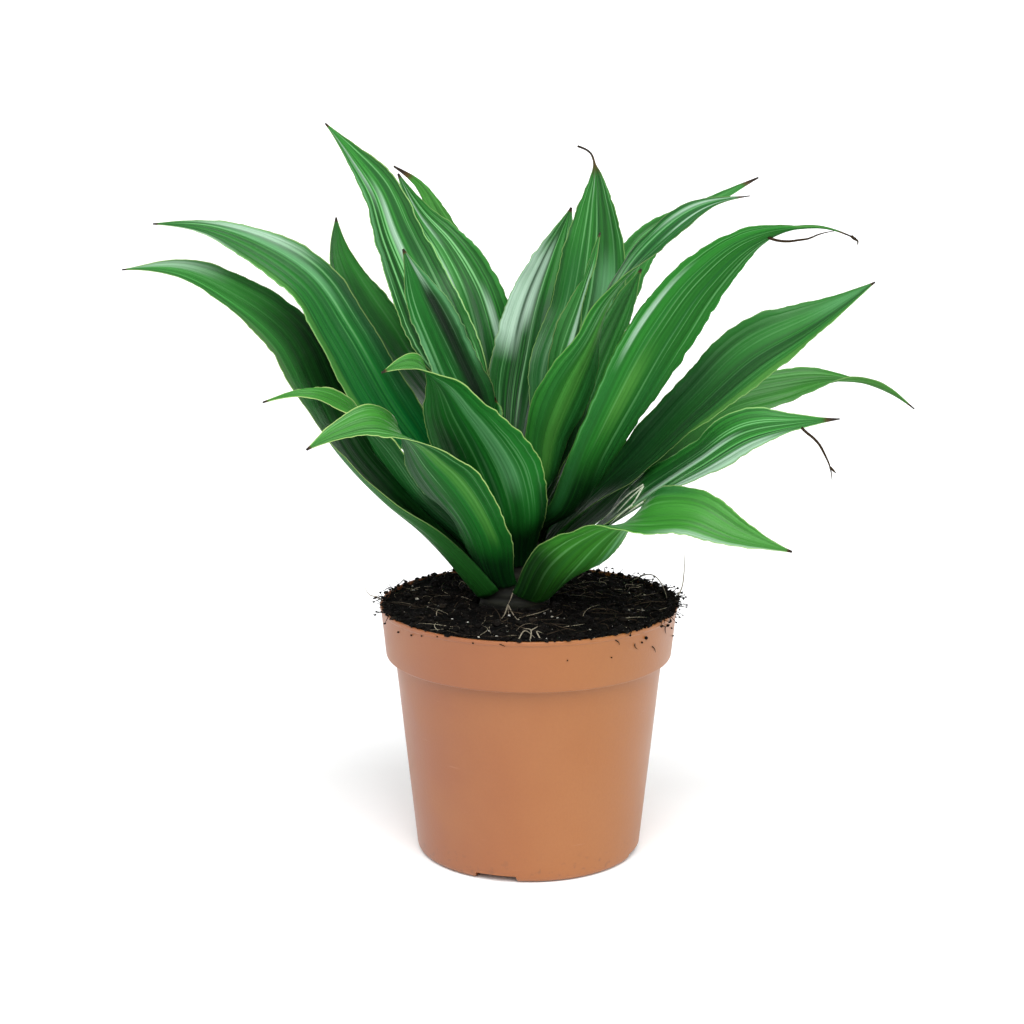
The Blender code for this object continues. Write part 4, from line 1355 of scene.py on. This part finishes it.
def make_threads(name, slot, lines, radius, tone, material):
    bits = Bits(5)
    for line in lines:
        rows = np.array(line) * MM
        bits.fibre(curve_through(rows, unit(rows[1] - rows[0]), THREAD_POINTS), radius, tone, 6)
    return bits.piece(name, material, slot, True)


def make_stage():
    """A pale floor that rises all round into a low wall."""
    low = -STAGE_GAP
    profile = [(0, low), (STAGE_RADIUS / 4, low), (STAGE_RADIUS, low)]
    for k in range(1, STAGE_STEPS + 1):
        angle = k / STAGE_STEPS * pi / 2
        profile.append((STAGE_RADIUS + sin(angle), 1 - cos(angle)))
    profile += [(STAGE_RADIUS + 1, STAGE_WALL), (0, STAGE_WALL)]
    points, faces = turned(profile, STAGE_SIDES)
    lid = len(points) - 1
    open_faces = [face[::-1] for face in faces if lid not in face]
    shader = Shader("studio_paper", 0.9, 0.1)
    paper = shader.noise(shader.place(), 60.0, 3.0)
    material = shader.dress(shader.mix(paper, *PAPER_TONES))
    mesh_object("studio_floor", points[:-1], open_faces, [material])


def add_sun(name, azimuth, elevation, strength, spread):
    """A soft distant light from an azimuth, 0 from the front and 90 from the right."""
    light = bpy.data.lights.new(name, "SUN")
    light.energy = strength
    light.angle = radians(spread)
    obj = bpy.data.objects.new(name, light)
    bpy.context.scene.collection.objects.link(obj)
    a, e = radians(azimuth), radians(elevation)
    toward = Vector((sin(a) * cos(e), -cos(a) * cos(e), sin(e)))
    obj.rotation_mode = "QUATERNION"
    obj.rotation_quaternion = toward.to_track_quat("Z", "Y")


def make_studio():
    make_stage()
    world = bpy.data.worlds.new("studio_air")
    world.use_nodes = True
    sky = world.node_tree.nodes["Background"]
    sky.inputs["Color"].default_value = SKY
    sky.inputs["Strength"].default_value = SKY_STRENGTH
    bpy.context.scene.world = world
    add_sun("key", azimuth=18, elevation=54, strength=3.3, spread=58)
    add_sun("fill", azimuth=-40, elevation=46, strength=1.1, spread=60)
    camera_data = bpy.data.cameras.new("camera")
    camera_data.sensor_width = SENSOR_WIDTH
    camera_data.lens = LENS
    camera_data.clip_start = 0.05
    camera_data.clip_end = 20
    camera = bpy.data.objects.new("camera", camera_data)
    camera.location = CAMERA_PLACE
    camera.rotation_euler = (radians(90 - CAMERA_DOWN), 0, 0)
    bpy.context.scene.collection.objects.link(camera)
    bpy.context.scene.camera = camera
    bpy.context.scene.view_settings.view_transform = "Standard"


def main():
    make_pot()
    make_soil()
    make_stem()
    for leaf in LEAVES:
        make_leaf(leaf)
    make_crumbs()
    make_fibres()
    make_grit()
    make_collar_dirt()
    strand = grain_material("dry_strands", STRAND_TONES)
    make_threads("dried_threads", "leaf", DRIED_THREADS, THREAD_RADIUS, 0.0, strand)
    make_threads("pale_strips", "leaf", PALE_STRIPS, STRIP_RADIUS, 1.0, strand)
    make_threads("root_wisps", "soil", on_soil(ROOT_WISPS), WISP_RADIUS, 0.7, strand)
    make_studio()


main()
